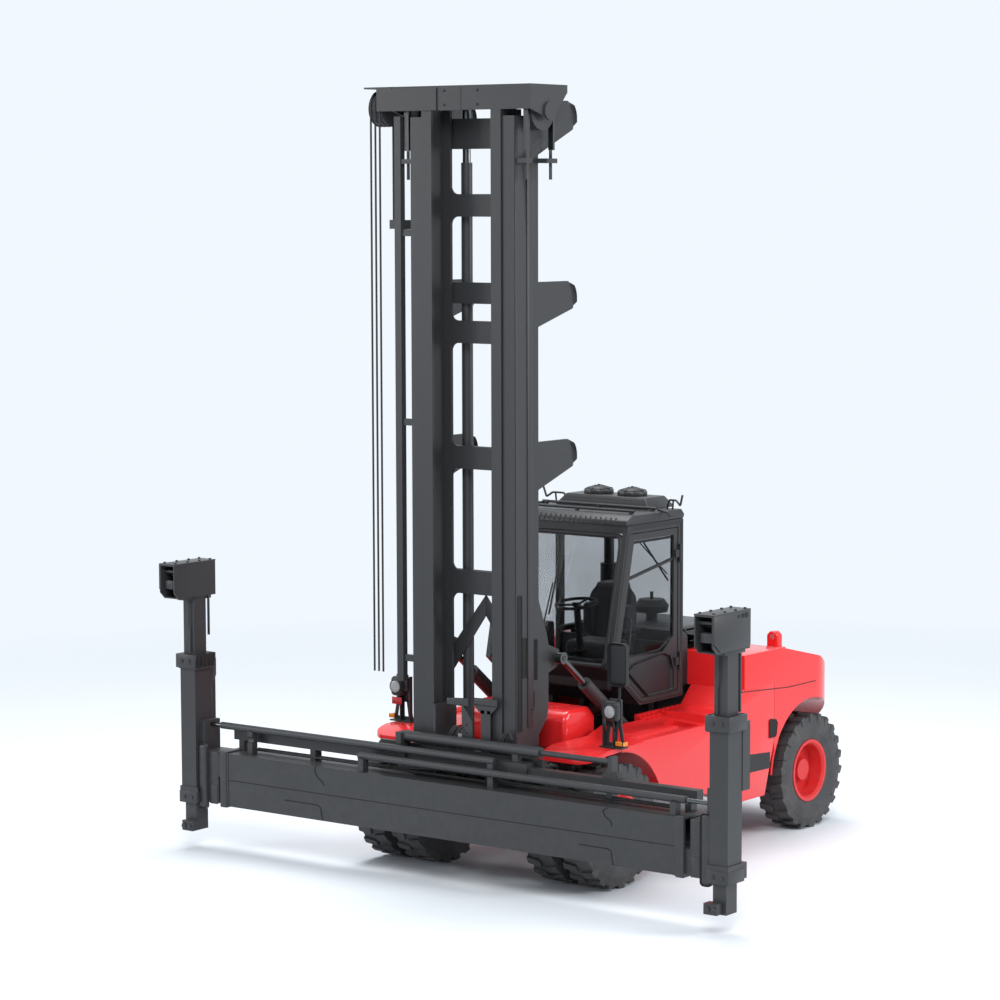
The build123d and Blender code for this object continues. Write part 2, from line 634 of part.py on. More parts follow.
def chain_pulley():
    wheel = x_rod(612, 688, PULLEY_Y, PULLEY_Z, PULLEY_R)
    shaft = x_rod(580, CROSSHEAD_HALF_W + 2, PULLEY_Y, PULLEY_Z, 38)
    disc = x_rod(CROSSHEAD_HALF_W + GAP, CROSSHEAD_HALF_W + 22, PULLEY_Y, PULLEY_Z, 80)
    return join(wheel, shaft, disc)


def chain():
    """The lift chain's end over its pulley, down to the anchors."""
    ring = cut(x_rod(625, 675, PULLEY_Y, PULLEY_Z, PULLEY_R + GAP + 26),
               x_rod(620, 680, PULLEY_Y, PULLEY_Z, PULLEY_R + GAP))
    upper = block((600, 700), (PULLEY_Y - 300, PULLEY_Y + 300), (PULLEY_Z, PULLEY_Z + 300))
    ring = as_compound(ring).intersect(upper)
    runs = [block((625, 675), (y - 13, y + 13), (6401, PULLEY_Z + 1)) for y in CHAIN_RUNS_Y]
    return join(as_compound(ring), *runs)


def tilt_line(t):
    """A point on the tilt cylinder's centre line, t millimetres below its eye."""
    dy = TILT_BASE[0] - TILT_EYE[0]
    dz = TILT_BASE[1] - TILT_EYE[1]
    length = math.hypot(dy, dz)
    return (TILT_X, TILT_EYE[0] + dy * t / length, TILT_EYE[1] + dz * t / length)


TILT_LENGTH = math.hypot(TILT_BASE[0] - TILT_EYE[0], TILT_BASE[1] - TILT_EYE[1])


def tilt_barrel():
    body = rod(tilt_line(440), tilt_line(TILT_LENGTH - 60), TILT_BARREL_R)
    neck = rod(tilt_line(TILT_LENGTH - 70), tilt_line(TILT_LENGTH), 34)
    eye = x_rod(TILT_X - 30, TILT_X + 30, TILT_BASE[0], TILT_BASE[1], 52)
    bore = rod(tilt_line(430), tilt_line(TILT_LENGTH - 110), TILT_ROD_R + 0.5)
    hole = x_rod(TILT_X - 40, TILT_X + 40, TILT_BASE[0], TILT_BASE[1], 24.5)
    return cut(join(body, neck, eye), bore, hole)


def tilt_rod():
    bar = rod(tilt_line(30), tilt_line(TILT_LENGTH - 330), TILT_ROD_R)
    eye = x_rod(TILT_X - 30, TILT_X + 30, TILT_EYE[0], TILT_EYE[1], 52)
    hole = x_rod(TILT_X - 40, TILT_X + 40, TILT_EYE[0], TILT_EYE[1], 26)
    return cut(join(bar, eye), hole)


write("mast_outer", mast_outer())
write("mast_inner", mast_inner())
write("lift_barrels", both(lift_barrel()))
write("lift_rods", both(lift_rod()))
write("hose_guide", hose_guide())
write("hose_arm", hose_arm())
write("hose_drum", hose_drum())
for i, x in enumerate(HOSE_X):
    write(f"hose_{i + 1}", hose(x))
write("chain_pulleys", both(chain_pulley()))
write("chains", both(chain()))
pair("tilt_barrel", tilt_barrel())
pair("tilt_rod", tilt_rod())


# Carriage

def carriage():
    plate = block((270, 300), (-640, -340), (480, 1560))
    rollers = [x_rod(300, 392, (INNER_FRONT_Y + INNER_REAR_Y) / 2, z, ROLLER_R) for z in (620, 1400)]
    side = both(join(plate, *rollers))
    bars = [block((-CARRIAGE_HALF_L, CARRIAGE_HALF_L), (-640, -605), z) for z in ((480, 620), (1010, 1190))]
    backs = [block((-300, 300), (-420, -390), z) for z in ((480, 620), (1010, 1190))]
    claws = []
    for x in (-820, 520):
        claws.append(block((x, x + 300), (RAIL_Y[0] - 26, -605), (RAIL_Z[1] + PAD_GAP, 1160)))
        claws.append(block((x, x + 300), (RAIL_Y[0] - 26, RAIL_Y[0] - PAD_GAP), (1080, 1160)))
    barrel_lug = block((-620, -560), (-770, -630), (1160, 1300))
    return join(side, *bars, *backs, *claws, barrel_lug)


def shift_barrel():
    barrel = x_rod(-560, 930, SHIFT_Y, SHIFT_Z, 48)
    bore = x_rod(-500, 940, SHIFT_Y, SHIFT_Z, 25.5)
    saddle = block((640, 700), (SHIFT_Y - 30, SHIFT_Y + 30), (1160, SHIFT_Z - 20))
    return cut(join(barrel, saddle), bore)


write("carriage", carriage())
write("shift_barrel", shift_barrel())


# Spreader

def main_beam():
    outer = block((-BEAM_HALF_L, BEAM_HALF_L), (BEAM_FRONT_Y, BEAM_REAR_Y), BEAM_Z)
    y = (BEAM_FRONT_Y + BEAM_WALL, BEAM_REAR_Y - BEAM_WALL)
    long_x = (-BEAM_HALF_L - 5, BEAM_HALF_L + 5)
    shell = cut(outer, block(long_x, y, LOWER_CELL), block(long_x, y, UPPER_CELL))
    rail = block((-2560, 2560), RAIL_Y, RAIL_Z)
    webs = []
    for x in (-2500, -1640, 1640, 2440):
        webs.append(block((x, x + 60), (RAIL_Y[0], BEAM_REAR_Y), (BEAM_Z[1], RAIL_Z[0])))
    lug = join(block((1600, 1760), (RAIL_Y[0], RAIL_Y[1]), (RAIL_Z[1], 1170)),
               block((1660, 1700), (SHIFT_Y - 45, SHIFT_Y + 45), (1170, SHIFT_Z + 50)))
    left_seat = block((460, 520), (-850, -780), (BEAM_Z[1], EXTEND_LEFT[1] - 20))
    left_seat_2 = block((-2300, -2240), (-850, -780), (BEAM_Z[1], EXTEND_LEFT[1] - 20))
    right_seats = [block((x, x + 60), (-910, -835), (BEAM_Z[1], EXTEND_RIGHT[1] - 20)) for x in (-940, 2400)]
    seats = cut(join(left_seat, left_seat_2, *right_seats),
                x_rod(-2700, 2700, *EXTEND_LEFT, EXTEND_BARREL_R + GAP),
                x_rod(-2700, 2700, *EXTEND_RIGHT, EXTEND_BARREL_R + GAP))
    pads = []
    for side, cell in ((1, LOWER_CELL), (-1, UPPER_CELL)):
        x = sorted((side * (BEAM_HALF_L - 110), side * (BEAM_HALF_L - 10)))
        pads.append(block(x, (y[0], y[1]), (cell[0], cell[0] + BEAM_CLEAR - PAD_GAP)))
    return join(shell, rail, *webs, lug, seats, *pads)


def extend_barrel(x0, x1, line, open_end):
    """The barrel of a beam's extension cylinder; open_end is where its rod comes out."""
    barrel = x_rod(x0, x1, line[0], line[1], EXTEND_BARREL_R)
    bore = (x0 - 10, x1 - 40) if open_end < 0 else (x0 + 40, x1 + 10)
    return cut(barrel, x_rod(bore[0], bore[1], line[0], line[1], EXTEND_ROD_R + 0.5))


def shift_rod():
    return x_rod(200, 1660, SHIFT_Y, SHIFT_Z, 25)


def sliding_beam(side, cell, reach):
    """An extending beam: side is -1 for the right-hand end of the machine."""
    y = (BEAM_FRONT_Y + BEAM_WALL + BEAM_CLEAR, BEAM_REAR_Y - BEAM_WALL - BEAM_CLEAR)
    z = (cell[0] + BEAM_CLEAR, cell[1] - BEAM_CLEAR)
    x = sorted((side * LEG_X[0], side * (LEG_X[0] - reach)))
    beam = block(x, y, z)
    end_x = sorted((side * LEG_X[0], side * (LEG_X[0] - 60)))
    flange = block(end_x, (y[0], -700), (LEG_Z[0] + 10, 1200))
    return join(beam, flange)


def leg(side):
    """The upright tube at one end of the spreader, with its foot and pins."""
    def at(a, b):
        return sorted((side * a, side * b))
    tube = block(at(*LEG_X), LEG_Y, LEG_Z)
    bore = block(at(LEG_X[0] + LEG_WALL, LEG_X[1] - LEG_WALL), (LEG_Y[0] + LEG_WALL, LEG_Y[1] - LEG_WALL),
                 (LEG_Z[0] + 150, LEG_Z[1] + 200))
    collar = block(at(LEG_X[0] - 30, LEG_X[1] + 12), (LEG_Y[0] - 12, LEG_Y[1] + 40), (1680, 1818))
    sill = join(block(at(LEG_X[0], LEG_X[1] + 12), (LEG_Y[0] - 12, LEG_Y[1] + 60), (LEG_Z[0], 583)),
                block(at(LEG_X[0] - 25, LEG_X[1]), (LEG_Y[0] - 12, LEG_Y[0]), (LEG_Z[0], 583)))
    cover = block(at(LEG_X[0] + 40, LEG_X[1] + 6), (LEG_Y[1], LEG_Y[1] + 110), (1180, 1750))
    foot = block(at(LEG_X[0] + 25, LEG_X[1] - 25), (LEG_Y[0] + 20, LEG_Y[1] - 30), FOOT_Z)
    toe = block(at(LEG_X[0] - 10, LEG_X[1] - 60), (LEG_Y[0] - 68, LEG_Y[0] + 25), (FOOT_Z[0] + 10, 274))
    pins = [rod((side * x, LEG_Y[0] - 80, 225), (side * x, LEG_Y[0] - 60, 225), 24)
            for x in (LEG_X[0] + 30, LEG_X[0] + 95)]
    return join(cut(join(tube, collar, sill), bore), cover, foot, toe, *pins)


def head(side):
    """The lifting head and its inner leg, sliding in the upright tube."""
    def at(a, b):
        return sorted((side * a, side * b))
    gap = LEG_WALL + INNER_LEG_CLEAR
    stem = block(at(LEG_X[0] + gap, LEG_X[1] - gap), (LEG_Y[0] + gap, LEG_Y[1] - gap),
                 (LEG_Z[0] + 150 + GAP, HEAD_Z[0] + 20))
    box = side_plate(((HEAD_Y[0], HEAD_Z[1]), (HEAD_Y[1], HEAD_Z[1]), (HEAD_Y[1], HEAD_Z[0]),
                      (HEAD_Y[0] + 60, HEAD_Z[0]), (HEAD_Y[0], HEAD_Z[0] + 60)), *at(*HEAD_X))
    room = block(at(HEAD_X[0] + 12, HEAD_X[1] - 12), (HEAD_Y[0] - 5, LEG_Y[0] - 20),
                 (HEAD_Z[0] + 12, HEAD_Z[1] - 12))
    return join(cut(box, room), stem)


write("main_beam", main_beam())
write("spreader_cylinders", Compound(list(extend_barrel(-2640, 520, EXTEND_LEFT, -1).solids())
                                     + list(extend_barrel(-960, 2540, EXTEND_RIGHT, 1).solids())
                                     + list(shift_rod().solids())))
for name, side, cell in (("left", 1, LOWER_CELL), ("right", -1, UPPER_CELL)):
    write("beam_" + name, join(sliding_beam(side, cell, SLIDING_BEAM_L), leg(side)))
    write("head_" + name, head(side))
write("extend_rod_right", x_rod(-LEG_X[0] + 60, 470, EXTEND_LEFT[0], EXTEND_LEFT[1], EXTEND_ROD_R))
write("extend_rod_left", x_rod(-800, LEG_X[0] - 60, EXTEND_RIGHT[0], EXTEND_RIGHT[1], EXTEND_ROD_R))
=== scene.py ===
import json
import math

import bmesh
import bpy
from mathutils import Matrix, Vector

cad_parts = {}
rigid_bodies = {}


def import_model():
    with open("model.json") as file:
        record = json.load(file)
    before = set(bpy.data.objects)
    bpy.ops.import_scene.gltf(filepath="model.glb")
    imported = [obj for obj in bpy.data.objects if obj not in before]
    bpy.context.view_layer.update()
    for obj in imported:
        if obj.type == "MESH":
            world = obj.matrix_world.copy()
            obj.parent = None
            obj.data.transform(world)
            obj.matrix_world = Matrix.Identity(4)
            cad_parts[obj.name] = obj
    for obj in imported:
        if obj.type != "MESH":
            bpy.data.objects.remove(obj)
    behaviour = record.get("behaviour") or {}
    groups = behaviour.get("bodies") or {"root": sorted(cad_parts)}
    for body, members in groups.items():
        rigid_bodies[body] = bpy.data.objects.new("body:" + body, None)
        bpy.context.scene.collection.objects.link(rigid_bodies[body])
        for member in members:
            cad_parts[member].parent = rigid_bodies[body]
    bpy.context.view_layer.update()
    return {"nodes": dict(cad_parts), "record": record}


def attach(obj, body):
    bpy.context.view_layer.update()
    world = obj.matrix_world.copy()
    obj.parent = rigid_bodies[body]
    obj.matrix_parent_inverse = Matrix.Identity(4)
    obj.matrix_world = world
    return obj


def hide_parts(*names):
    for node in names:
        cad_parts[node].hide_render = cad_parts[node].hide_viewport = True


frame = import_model()
nodes = frame["nodes"]
print("frame loaded:", len(nodes), "nodes")

for o in bpy.data.objects:
    o.select_set(False)

# front axle to the middle of the machine, the same shift as the model has
axleY = -1.315


# camera at the viewing angle

camera = {
    "place": (16.412, -22.986, 6.001),
    "turn": (83.8, 0, 35.8),  # degrees
    "lens": 111.0,
    "shift": (-0.075, 0.032),
}


def makeCamera():
    bpy.ops.object.camera_add(location=camera["place"],
                              rotation=[math.radians(a) for a in camera["turn"]])
    cam = bpy.context.object
    cam.name = "photoCamera"
    cam.data.lens = camera["lens"]
    cam.data.sensor_width = 36
    cam.data.shift_x, cam.data.shift_y = camera["shift"]
    cam.data.clip_end = 300
    bpy.context.scene.camera = cam


makeCamera()


# shader nodes

def link(tree, source, target):
    tree.links.new(source, target)


def addNode(tree, kind, place, **settings):
    node = tree.nodes.new(kind)
    node.location = place
    for name, value in settings.items():
        setattr(node, name, value)
    return node


def setInputs(node, values):
    for name, value in values.items():
        node.inputs[name].default_value = value


# a number stays on the socket, anything else is linked to it
def feed(tree, socket, value):
    if isinstance(value, (int, float, tuple)):
        socket.default_value = value
    else:
        link(tree, value, socket)


def addMath(tree, operation, place, first, second):
    node = addNode(tree, "ShaderNodeMath", place, operation=operation)
    feed(tree, node.inputs[0], first)
    feed(tree, node.inputs[1], second)
    return node.outputs[0]


def addNoise(tree, place, vector, scale, detail):
    node = addNode(tree, "ShaderNodeTexNoise", place)
    node.inputs["Detail"].default_value = detail
    link(tree, vector, node.inputs["Vector"])
    feed(tree, node.inputs["Scale"], scale)
    return node.outputs["Fac"]


def addRange(tree, place, value, low, high, newLow=0.0, newHigh=1.0):
    node = addNode(tree, "ShaderNodeMapRange", place)
    link(tree, value, node.inputs["Value"])
    setInputs(node, {"From Min": low, "From Max": high, "To Min": newLow, "To Max": newHigh})
    return node.outputs["Result"]


def addMix(tree, place, factor, first, second, blend="MIX"):
    node = addNode(tree, "ShaderNodeMix", place, data_type="RGBA", blend_type=blend)
    for name, value in (("Factor", factor), ("A", first), ("B", second)):
        feed(tree, node.inputs[name], value)
    return node.outputs["Result"]


def objectPlace(tree, place):
    return addNode(tree, "ShaderNodeTexCoord", place).outputs["Object"]


def mixShaders(tree, share, first, second, target):
    pick = addNode(tree, "ShaderNodeMixShader", (100, 0))
    for source, socket in zip((share, first.outputs[0], second.outputs[0]), pick.inputs):
        link(tree, source, socket)
    link(tree, pick.outputs[0], target)


# one where the camera, a reflection or glass looks at the surface
def seenDirectly(tree, place):
    x, y = place
    rays = addNode(tree, "ShaderNodeLightPath", place).outputs
    seen = addMath(tree, "MAXIMUM", (x + 200, y), rays["Is Camera Ray"], rays["Is Glossy Ray"])
    return addMath(tree, "MAXIMUM", (x + 400, y), seen, rays["Is Transmission Ray"])


def newMaterial(name):
    material = bpy.data.materials.new(name)
    material.use_nodes = True
    tree = material.node_tree
    return material, tree, tree.nodes["Principled BSDF"]


# floor, background and soft lamps

studio = {
    "floor": (0.80, 0.84, 0.88),
    "back": (0.88, 0.94, 1.0),
    "fade": (5, 16),  # metres from the middle
    "world": (0.86, 0.92, 1.0),
    "worldStrength": 0.55,
    "lamps": (  # name, place, aimed at, size, watts
        ("keyLamp", (11, -15, 15), (0, 0, 2.5), 9, 2600),
        ("topLamp", (-3, 2, 17), (0, 0, 2), 10, 1900),
        ("sideLamp", (17, 6, 8), (0, 1, 2), 8, 1500),
        ("fillLamp", (-14, -12, 7), (0, 0, 3), 9, 900),
    ),
}


def makeWorld():
    world = bpy.data.worlds.new("studio")
    bpy.context.scene.world = world
    world.use_nodes = True
    tree = world.node_tree
    soft = tree.nodes["Background"]
    setInputs(soft, {"Color": (*studio["world"], 1), "Strength": studio["worldStrength"]})
    bright = addNode(tree, "ShaderNodeBackground", (-200, -200))
    setInputs(bright, {"Color": (*studio["back"], 1), "Strength": 1})
    share = seenDirectly(tree, (-700, 300))
    mixShaders(tree, share, soft, bright, tree.nodes["World Output"].inputs["Surface"])


def makeLamp(name, place, aim, size, watts):
    turn = (Vector(aim) - Vector(place)).to_track_quat("-Z", "Y").to_euler()
    bpy.ops.object.light_add(type="AREA", location=place, rotation=turn)
    light = bpy.context.object
    light.name = name
    light.data.shape = "DISK"
    light.data.size = size
    light.data.energy = watts


# the floor fades to the background away from the machine
def makeFloorMaterial():
    material, tree, shader = newMaterial("paleFloor")
    setInputs(shader, {"Base Color": (*studio["floor"], 1), "Roughness": 0.85, "Specular IOR Level": 0.1})
    far = addNode(tree, "ShaderNodeVectorMath", (-1100, 0), operation="LENGTH")
    link(tree, objectPlace(tree, (-1300, 0)), far.inputs[0])
    fade = addRange(tree, (-900, 0), far.outputs["Value"], *studio["fade"])
    share = addMath(tree, "MULTIPLY", (-300, 0), fade, seenDirectly(tree, (-900, 300)))
    glow = addNode(tree, "ShaderNodeEmission", (-200, -200))
    setInputs(glow, {"Color": (*studio["back"], 1)})
    mixShaders(tree, share, shader, glow, tree.nodes["Material Output"].inputs["Surface"])
    return material


def makeFloor():
    bpy.ops.mesh.primitive_circle_add(vertices=96, radius=90, fill_type="NGON", location=(0, 0, -0.001))
    floor = bpy.context.object
    floor.name = "studioFloor"
    floor.data.materials.append(makeFloorMaterial())


makeWorld()
for lampValues in studio["lamps"]:
    makeLamp(*lampValues)
makeFloor()
bpy.context.scene.view_settings.view_transform = "Standard"
print("camera, floor and lamps done")


# materials

# fades a paint a little in patches, dusts what faces up and lies low, and gives orange peel
def makePaintGroup():
    group = bpy.data.node_groups.new("agedPaint", "ShaderNodeTree")
    for name, kind, value in (
        ("Colour", "NodeSocketColor", (0.1, 0.1, 0.1, 1)),
        ("Dust Colour", "NodeSocketColor", (0.3, 0.28, 0.25, 1)),
        ("Dust", "NodeSocketFloat", 0.3),
        ("Patches", "NodeSocketFloat", 0.15),
        ("Gloss Low", "NodeSocketFloat", 0.3),
        ("Gloss High", "NodeSocketFloat", 0.45),
        ("Peel", "NodeSocketFloat", 220.0),
    ):
        group.interface.new_socket(name=name, in_out="INPUT", socket_type=kind).default_value = value
    for name, kind in (("Colour", "NodeSocketColor"), ("Roughness", "NodeSocketFloat"),
                       ("Height", "NodeSocketFloat")):
        group.interface.new_socket(name=name, in_out="OUTPUT", socket_type=kind)
    given = addNode(group, "NodeGroupInput", (-1400, 0)).outputs
    out = addNode(group, "NodeGroupOutput", (900, 0)).inputs
    place = objectPlace(group, (-1400, -400))
    broad = addNoise(group, (-1100, 200), place, 0.9, 4)
    fine = addNoise(group, (-1100, -100), place, 14.0, 5)
    peel = addNoise(group, (-1100, -400), place, given["Peel"], 2)
    normal = addNode(group, "ShaderNodeNewGeometry", (-1400, -700)).outputs["Normal"]
    up = addNode(group, "ShaderNodeSeparateXYZ", (-1200, -700))
    link(group, normal, up.inputs[0])
    height = addNode(group, "ShaderNodeSeparateXYZ", (-1200, -900))
    link(group, place, height.inputs[0])
    facing = addRange(group, (-1000, -700), up.outputs["Z"], 0.55, 1.0)
    low = addRange(group, (-1000, -950), height.outputs["Z"], 1.5, 0.1, 0.0, 0.75)
    settled = addMath(group, "MAXIMUM", (-800, -800), facing, low)
    broken = addRange(group, (-800, -300), fine, 0.38, 0.72)
    dusty = addMath(group, "MULTIPLY", (-600, -500), settled, broken)
    dusty = addMath(group, "MULTIPLY", (-450, -500), dusty, given["Dust"])
    fade = addRange(group, (-800, 200), broad, 0.3, 0.7)
    fade = addMath(group, "MULTIPLY", (-600, 200), fade, given["Patches"])
    faded = addMix(group, (-300, 300), fade, given["Colour"], given["Dust Colour"], "SOFT_LIGHT")
    link(group, addMix(group, (-50, 200), dusty, faded, given["Dust Colour"]), out["Colour"])
    span = addMath(group, "SUBTRACT", (-600, -150), given["Gloss High"], given["Gloss Low"])
    varied = addMath(group, "MULTIPLY", (-450, -150), span, fine)
    rough = addMath(group, "ADD", (-300, -150), varied, given["Gloss Low"])
    dull = addMath(group, "MULTIPLY", (-300, -300), dusty, 0.5)
    link(group, addMath(group, "ADD", (-150, -150), rough, dull), out["Roughness"])
    link(group, peel, out["Height"])
    return group


paintGroup = makePaintGroup()


def addBump(tree, shader, height, strength, distance):
    bump = addNode(tree, "ShaderNodeBump", (-200, -300))
    setInputs(bump, {"Strength": strength, "Distance": distance})
    link(tree, height, bump.inputs["Height"])
    link(tree, bump.outputs["Normal"], shader.inputs["Normal"])


def makePaint(name, colour, dust, patches=0.15, gloss=(0.32, 0.46), coat=0.0, peel=220.0, depth=0.0004):
    material, tree, shader = newMaterial(name)
    aged = addNode(tree, "ShaderNodeGroup", (-500, 0), node_tree=paintGroup)
    setInputs(aged, {"Colour": (*colour, 1), "Dust": dust, "Patches": patches, "Gloss Low": gloss[0],
                     "Gloss High": gloss[1], "Peel": peel})
    link(tree, aged.outputs["Colour"], shader.inputs["Base Color"])
    link(tree, aged.outputs["Roughness"], shader.inputs["Roughness"])
    setInputs(shader, {"Specular IOR Level": 0.3, "Coat Weight": coat, "Coat Roughness": 0.08})
    addBump(tree, shader, aged.outputs["Height"], 0.25, depth)
    return material


# turned or ground metal, with fine lines along one direction
def makeMetal(name, colour, gloss, streak=(1, 1, 40)):
    material, tree, shader = newMaterial(name)
    place = objectPlace(tree, (-1100, 0))
    turned = addNode(tree, "ShaderNodeMapping", (-900, 0))
    turned.inputs["Scale"].default_value = streak
    link(tree, place, turned.inputs["Vector"])
    lines = addNoise(tree, (-700, 0), turned.outputs[0], 60.0, 4)
    cloud = addNoise(tree, (-700, -300), place, 3.0, 5)
    darker = tuple(c * 0.72 for c in colour)
    tone = addRange(tree, (-500, 0), cloud, 0.3, 0.7)
    link(tree, addMix(tree, (-300, 100), tone, (*darker, 1), (*colour, 1)), shader.inputs["Base Color"])
    shader.inputs["Metallic"].default_value = 1
    link(tree, addRange(tree, (-300, -100), lines, 0.3, 0.7, *gloss), shader.inputs["Roughness"])
    addBump(tree, shader, lines, 0.15, 0.0003)
    return material


rubberDust = (0.13, 0.12, 0.11)


def makeRubber(name, colour, dust, grain=90.0):
    material, tree, shader = newMaterial(name)
    place = objectPlace(tree, (-1100, 0))
    cloud = addNoise(tree, (-800, 100), place, 5.0, 6)
    fine = addNoise(tree, (-800, -200), place, grain, 3)
    dusty = addMath(tree, "MULTIPLY", (-500, 100), addRange(tree, (-650, 100), cloud, 0.4, 0.75), dust)
    link(tree, addMix(tree, (-300, 100), dusty, (*colour, 1), (*rubberDust, 1)), shader.inputs["Base Color"])
    link(tree, addRange(tree, (-400, -100), fine, 0.3, 0.7, 0.55, 0.85), shader.inputs["Roughness"])
    addBump(tree, shader, fine, 0.4, 0.0012)
    return material


def makeGlass(name, colour):
    material, tree, shader = newMaterial(name)
    film = addNoise(tree, (-700, 0), objectPlace(tree, (-900, 0)), 2.2, 5)
    tone = addRange(tree, (-500, 0), film, 0.35, 0.7)
    clouded = tuple(c * 0.9 for c in colour)
    link(tree, addMix(tree, (-300, 100), tone, (*colour, 1), (*clouded, 1)), shader.inputs["Base Color"])
    link(tree, addRange(tree, (-300, -100), film, 0.3, 0.8, 0.0, 0.006), shader.inputs["Roughness"])
    setInputs(shader, {"Transmission Weight": 1, "IOR": 1.12})
    return material


# a close weave from two crossed waves
def makeCloth(name, colour):
    material, tree, shader = newMaterial(name)
    place = objectPlace(tree, (-1200, 0))
    waves = []
    for direction, y in (("X", 200), ("Z", -100)):
        wave = addNode(tree, "ShaderNodeTexWave", (-900, y), bands_direction=direction)
        setInputs(wave, {"Scale": 150, "Distortion": 0.6})
        link(tree, place, wave.inputs["Vector"])
        waves.append(wave.outputs["Fac"])
    weave = addMath(tree, "MULTIPLY", (-650, 50), *waves)
    worn = addNoise(tree, (-900, -400), place, 7.0, 5)
    patches = addRange(tree, (-650, -300), worn, 0.3, 0.7, 0.5, 1.0)
    tone = addMath(tree, "MULTIPLY", (-450, 50), weave, patches)
    lighter = tuple(min(1, c * 2.2) for c in colour)
    link(tree, addMix(tree, (-250, 100), tone, (*colour, 1), (*lighter, 1)), shader.inputs["Base Color"])
    setInputs(shader, {"Roughness": 0.9, "Sheen Weight": 0.3})
    addBump(tree, shader, weave, 0.5, 0.0008)
    return material


# lamp lenses, reflectors, and a near-black painted shade for the inside of openings, creases and gaps between
# parts
def makeLens(name, colour, gloss=0.12):
    material, tree, shader = newMaterial(name)
    ribs = addNoise(tree, (-700, 0), objectPlace(tree, (-900, 0)), 60.0, 3)
    tone = addRange(tree, (-500, 0), ribs, 0.3, 0.7)
    deep = tuple(c * 0.7 for c in colour)
    link(tree, addMix(tree, (-300, 100), tone, (*deep, 1), (*colour, 1)), shader.inputs["Base Color"])
    shader.inputs["Roughness"].default_value = gloss
    return material


finishes = {
    "frame_paint": makePaint("frameGrey", (0.026, 0.027, 0.029), dust=0.07),
    "mast_paint": makePaint("mastGrey", (0.033, 0.034, 0.036), dust=0.04),
    "spreader_paint": makePaint("spreaderGrey", (0.036, 0.037, 0.039), dust=0.05),
    "body_paint": makePaint("bodyRed", (0.74, 0.020, 0.022), dust=0.03, patches=0.08, gloss=(0.18, 0.28),
                            coat=0.4),
    "wheel_paint": makePaint("wheelRed", (0.62, 0.024, 0.026), dust=0.10, patches=0.12, gloss=(0.3, 0.4)),
    "cast_weight": makePaint("castGrey", (0.028, 0.029, 0.031), dust=0.15, peel=60.0, depth=0.002),
    "mirror_shell": makePaint("mouldedBlack", (0.014, 0.014, 0.016), dust=0.05, gloss=(0.42, 0.55),
                              peel=500.0),
    "tyre_rubber": makeRubber("tyreRubber", (0.034, 0.034, 0.036), 0.35),
    "hose_rubber": makeRubber("hoseRubber", (0.012, 0.012, 0.013), 0.08, 260.0),
    "chrome_rod": makeMetal("chromedRod", (0.13, 0.135, 0.14), (0.12, 0.24), (40, 1, 1)),
    "bare_steel": makeMetal("bareSteel", (0.075, 0.076, 0.08), (0.3, 0.5)),
    "cab_glass": makeGlass("cabGlass", (0.60, 0.61, 0.62)),
    "seat_fabric": makeCloth("seatCloth", (0.030, 0.030, 0.033)),
}
nodeFinish = {"hood": "frame_paint"}  # nodes whose finish differs from their slot's
lenses = {
    "amber": makeLens("amberLens", (0.85, 0.28, 0.02)),
    "red": makeLens("redLens", (0.55, 0.02, 0.03)),
    "clear": makeLens("lampLens", (0.40, 0.41, 0.42), 0.05),
    # painted shade: near-black put where openings, creases and gaps between parts would fall dark
    "gap": makeLens("paintedOpeningShade", (0.004, 0.004, 0.004), 0.8),
}


def paintNodes():
    slots = {s["node"]: s["material_slot"] for s in frame["record"]["subparts"]}
    for name, o in nodes.items():
        material = finishes[nodeFinish.get(name, slots[name])]
        o.data.materials.clear()
        o.data.materials.append(material)


paintNodes()
print("node materials done")


# a round bar or hose along a smooth route, in metres
def makeCurve(name, route, radius, steps, fine):
    curve = bpy.data.curves.new(name, "CURVE")
    curve.dimensions = "3D"
    spline = curve.splines.new("NURBS")
    spline.points.add(len(route) - 1)
    for point, place in zip(spline.points, route):
        point.co = (*place, 1)
    spline.order_u = 3
    spline.use_endpoint_u = True
    spline.resolution_u = steps
    curve.bevel_depth = radius
    curve.bevel_resolution = fine
    curve.use_fill_caps = True
    piece = bpy.data.objects.new(name, curve)
    bpy.context.scene.collection.objects.link(piece)
    return piece


# hoses over the drum on the mast's head

hoses = {
    "x": (-1.005, -0.955, -0.905),
    "drumY": -0.430 + axleY,
    "drumZ": 6.770,
    "reach": 0.1543,  # drum radius, hose radius and gap
    "clampZ": 5.8,
    "endZ": 1.79,
    "radius": 0.009,
    "length": 6.435,
    "lead": 0.108,  # point below the drum, six diameters
}


def makeHose(number, x):
    back = hoses["drumY"] + hoses["reach"]
    front = hoses["drumY"] - hoses["reach"]
    top = hoses["drumZ"] + hoses["reach"]
    lead = hoses["drumZ"] - hoses["lead"]
    route = ((x, back, hoses["clampZ"]), (x, back, lead), (x, back, top),
             (x, front, top), (x, front, lead), (x, front, hoses["endZ"]))
    piece = makeCurve(f"hangingHose{number}", route, hoses["radius"], 24, 4)
    piece.data.materials.append(finishes["hose_rubber"])
    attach(piece, "inner_mast")
    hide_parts(f"hose_{number}")


for number, x in enumerate(hoses["x"], 1):
    makeHose(number, x)
print("hoses done")


# shaping, in millimetres from the front axle as the machine is drawn

def at(x, y, z):
    return Vector((x / 1000, y / 1000 + axleY, z / 1000))


def clear():
    if bpy.context.object and bpy.context.object.mode != "OBJECT":
        bpy.ops.object.mode_set(mode="OBJECT")
    bpy.ops.object.select_all(action="DESELECT")


def hold(piece):
    clear()
    piece.select_set(True)
    bpy.context.view_layer.objects.active = piece


def settle(piece):
    hold(piece)
    bpy.ops.object.transform_apply(location=True, rotation=True, scale=True)


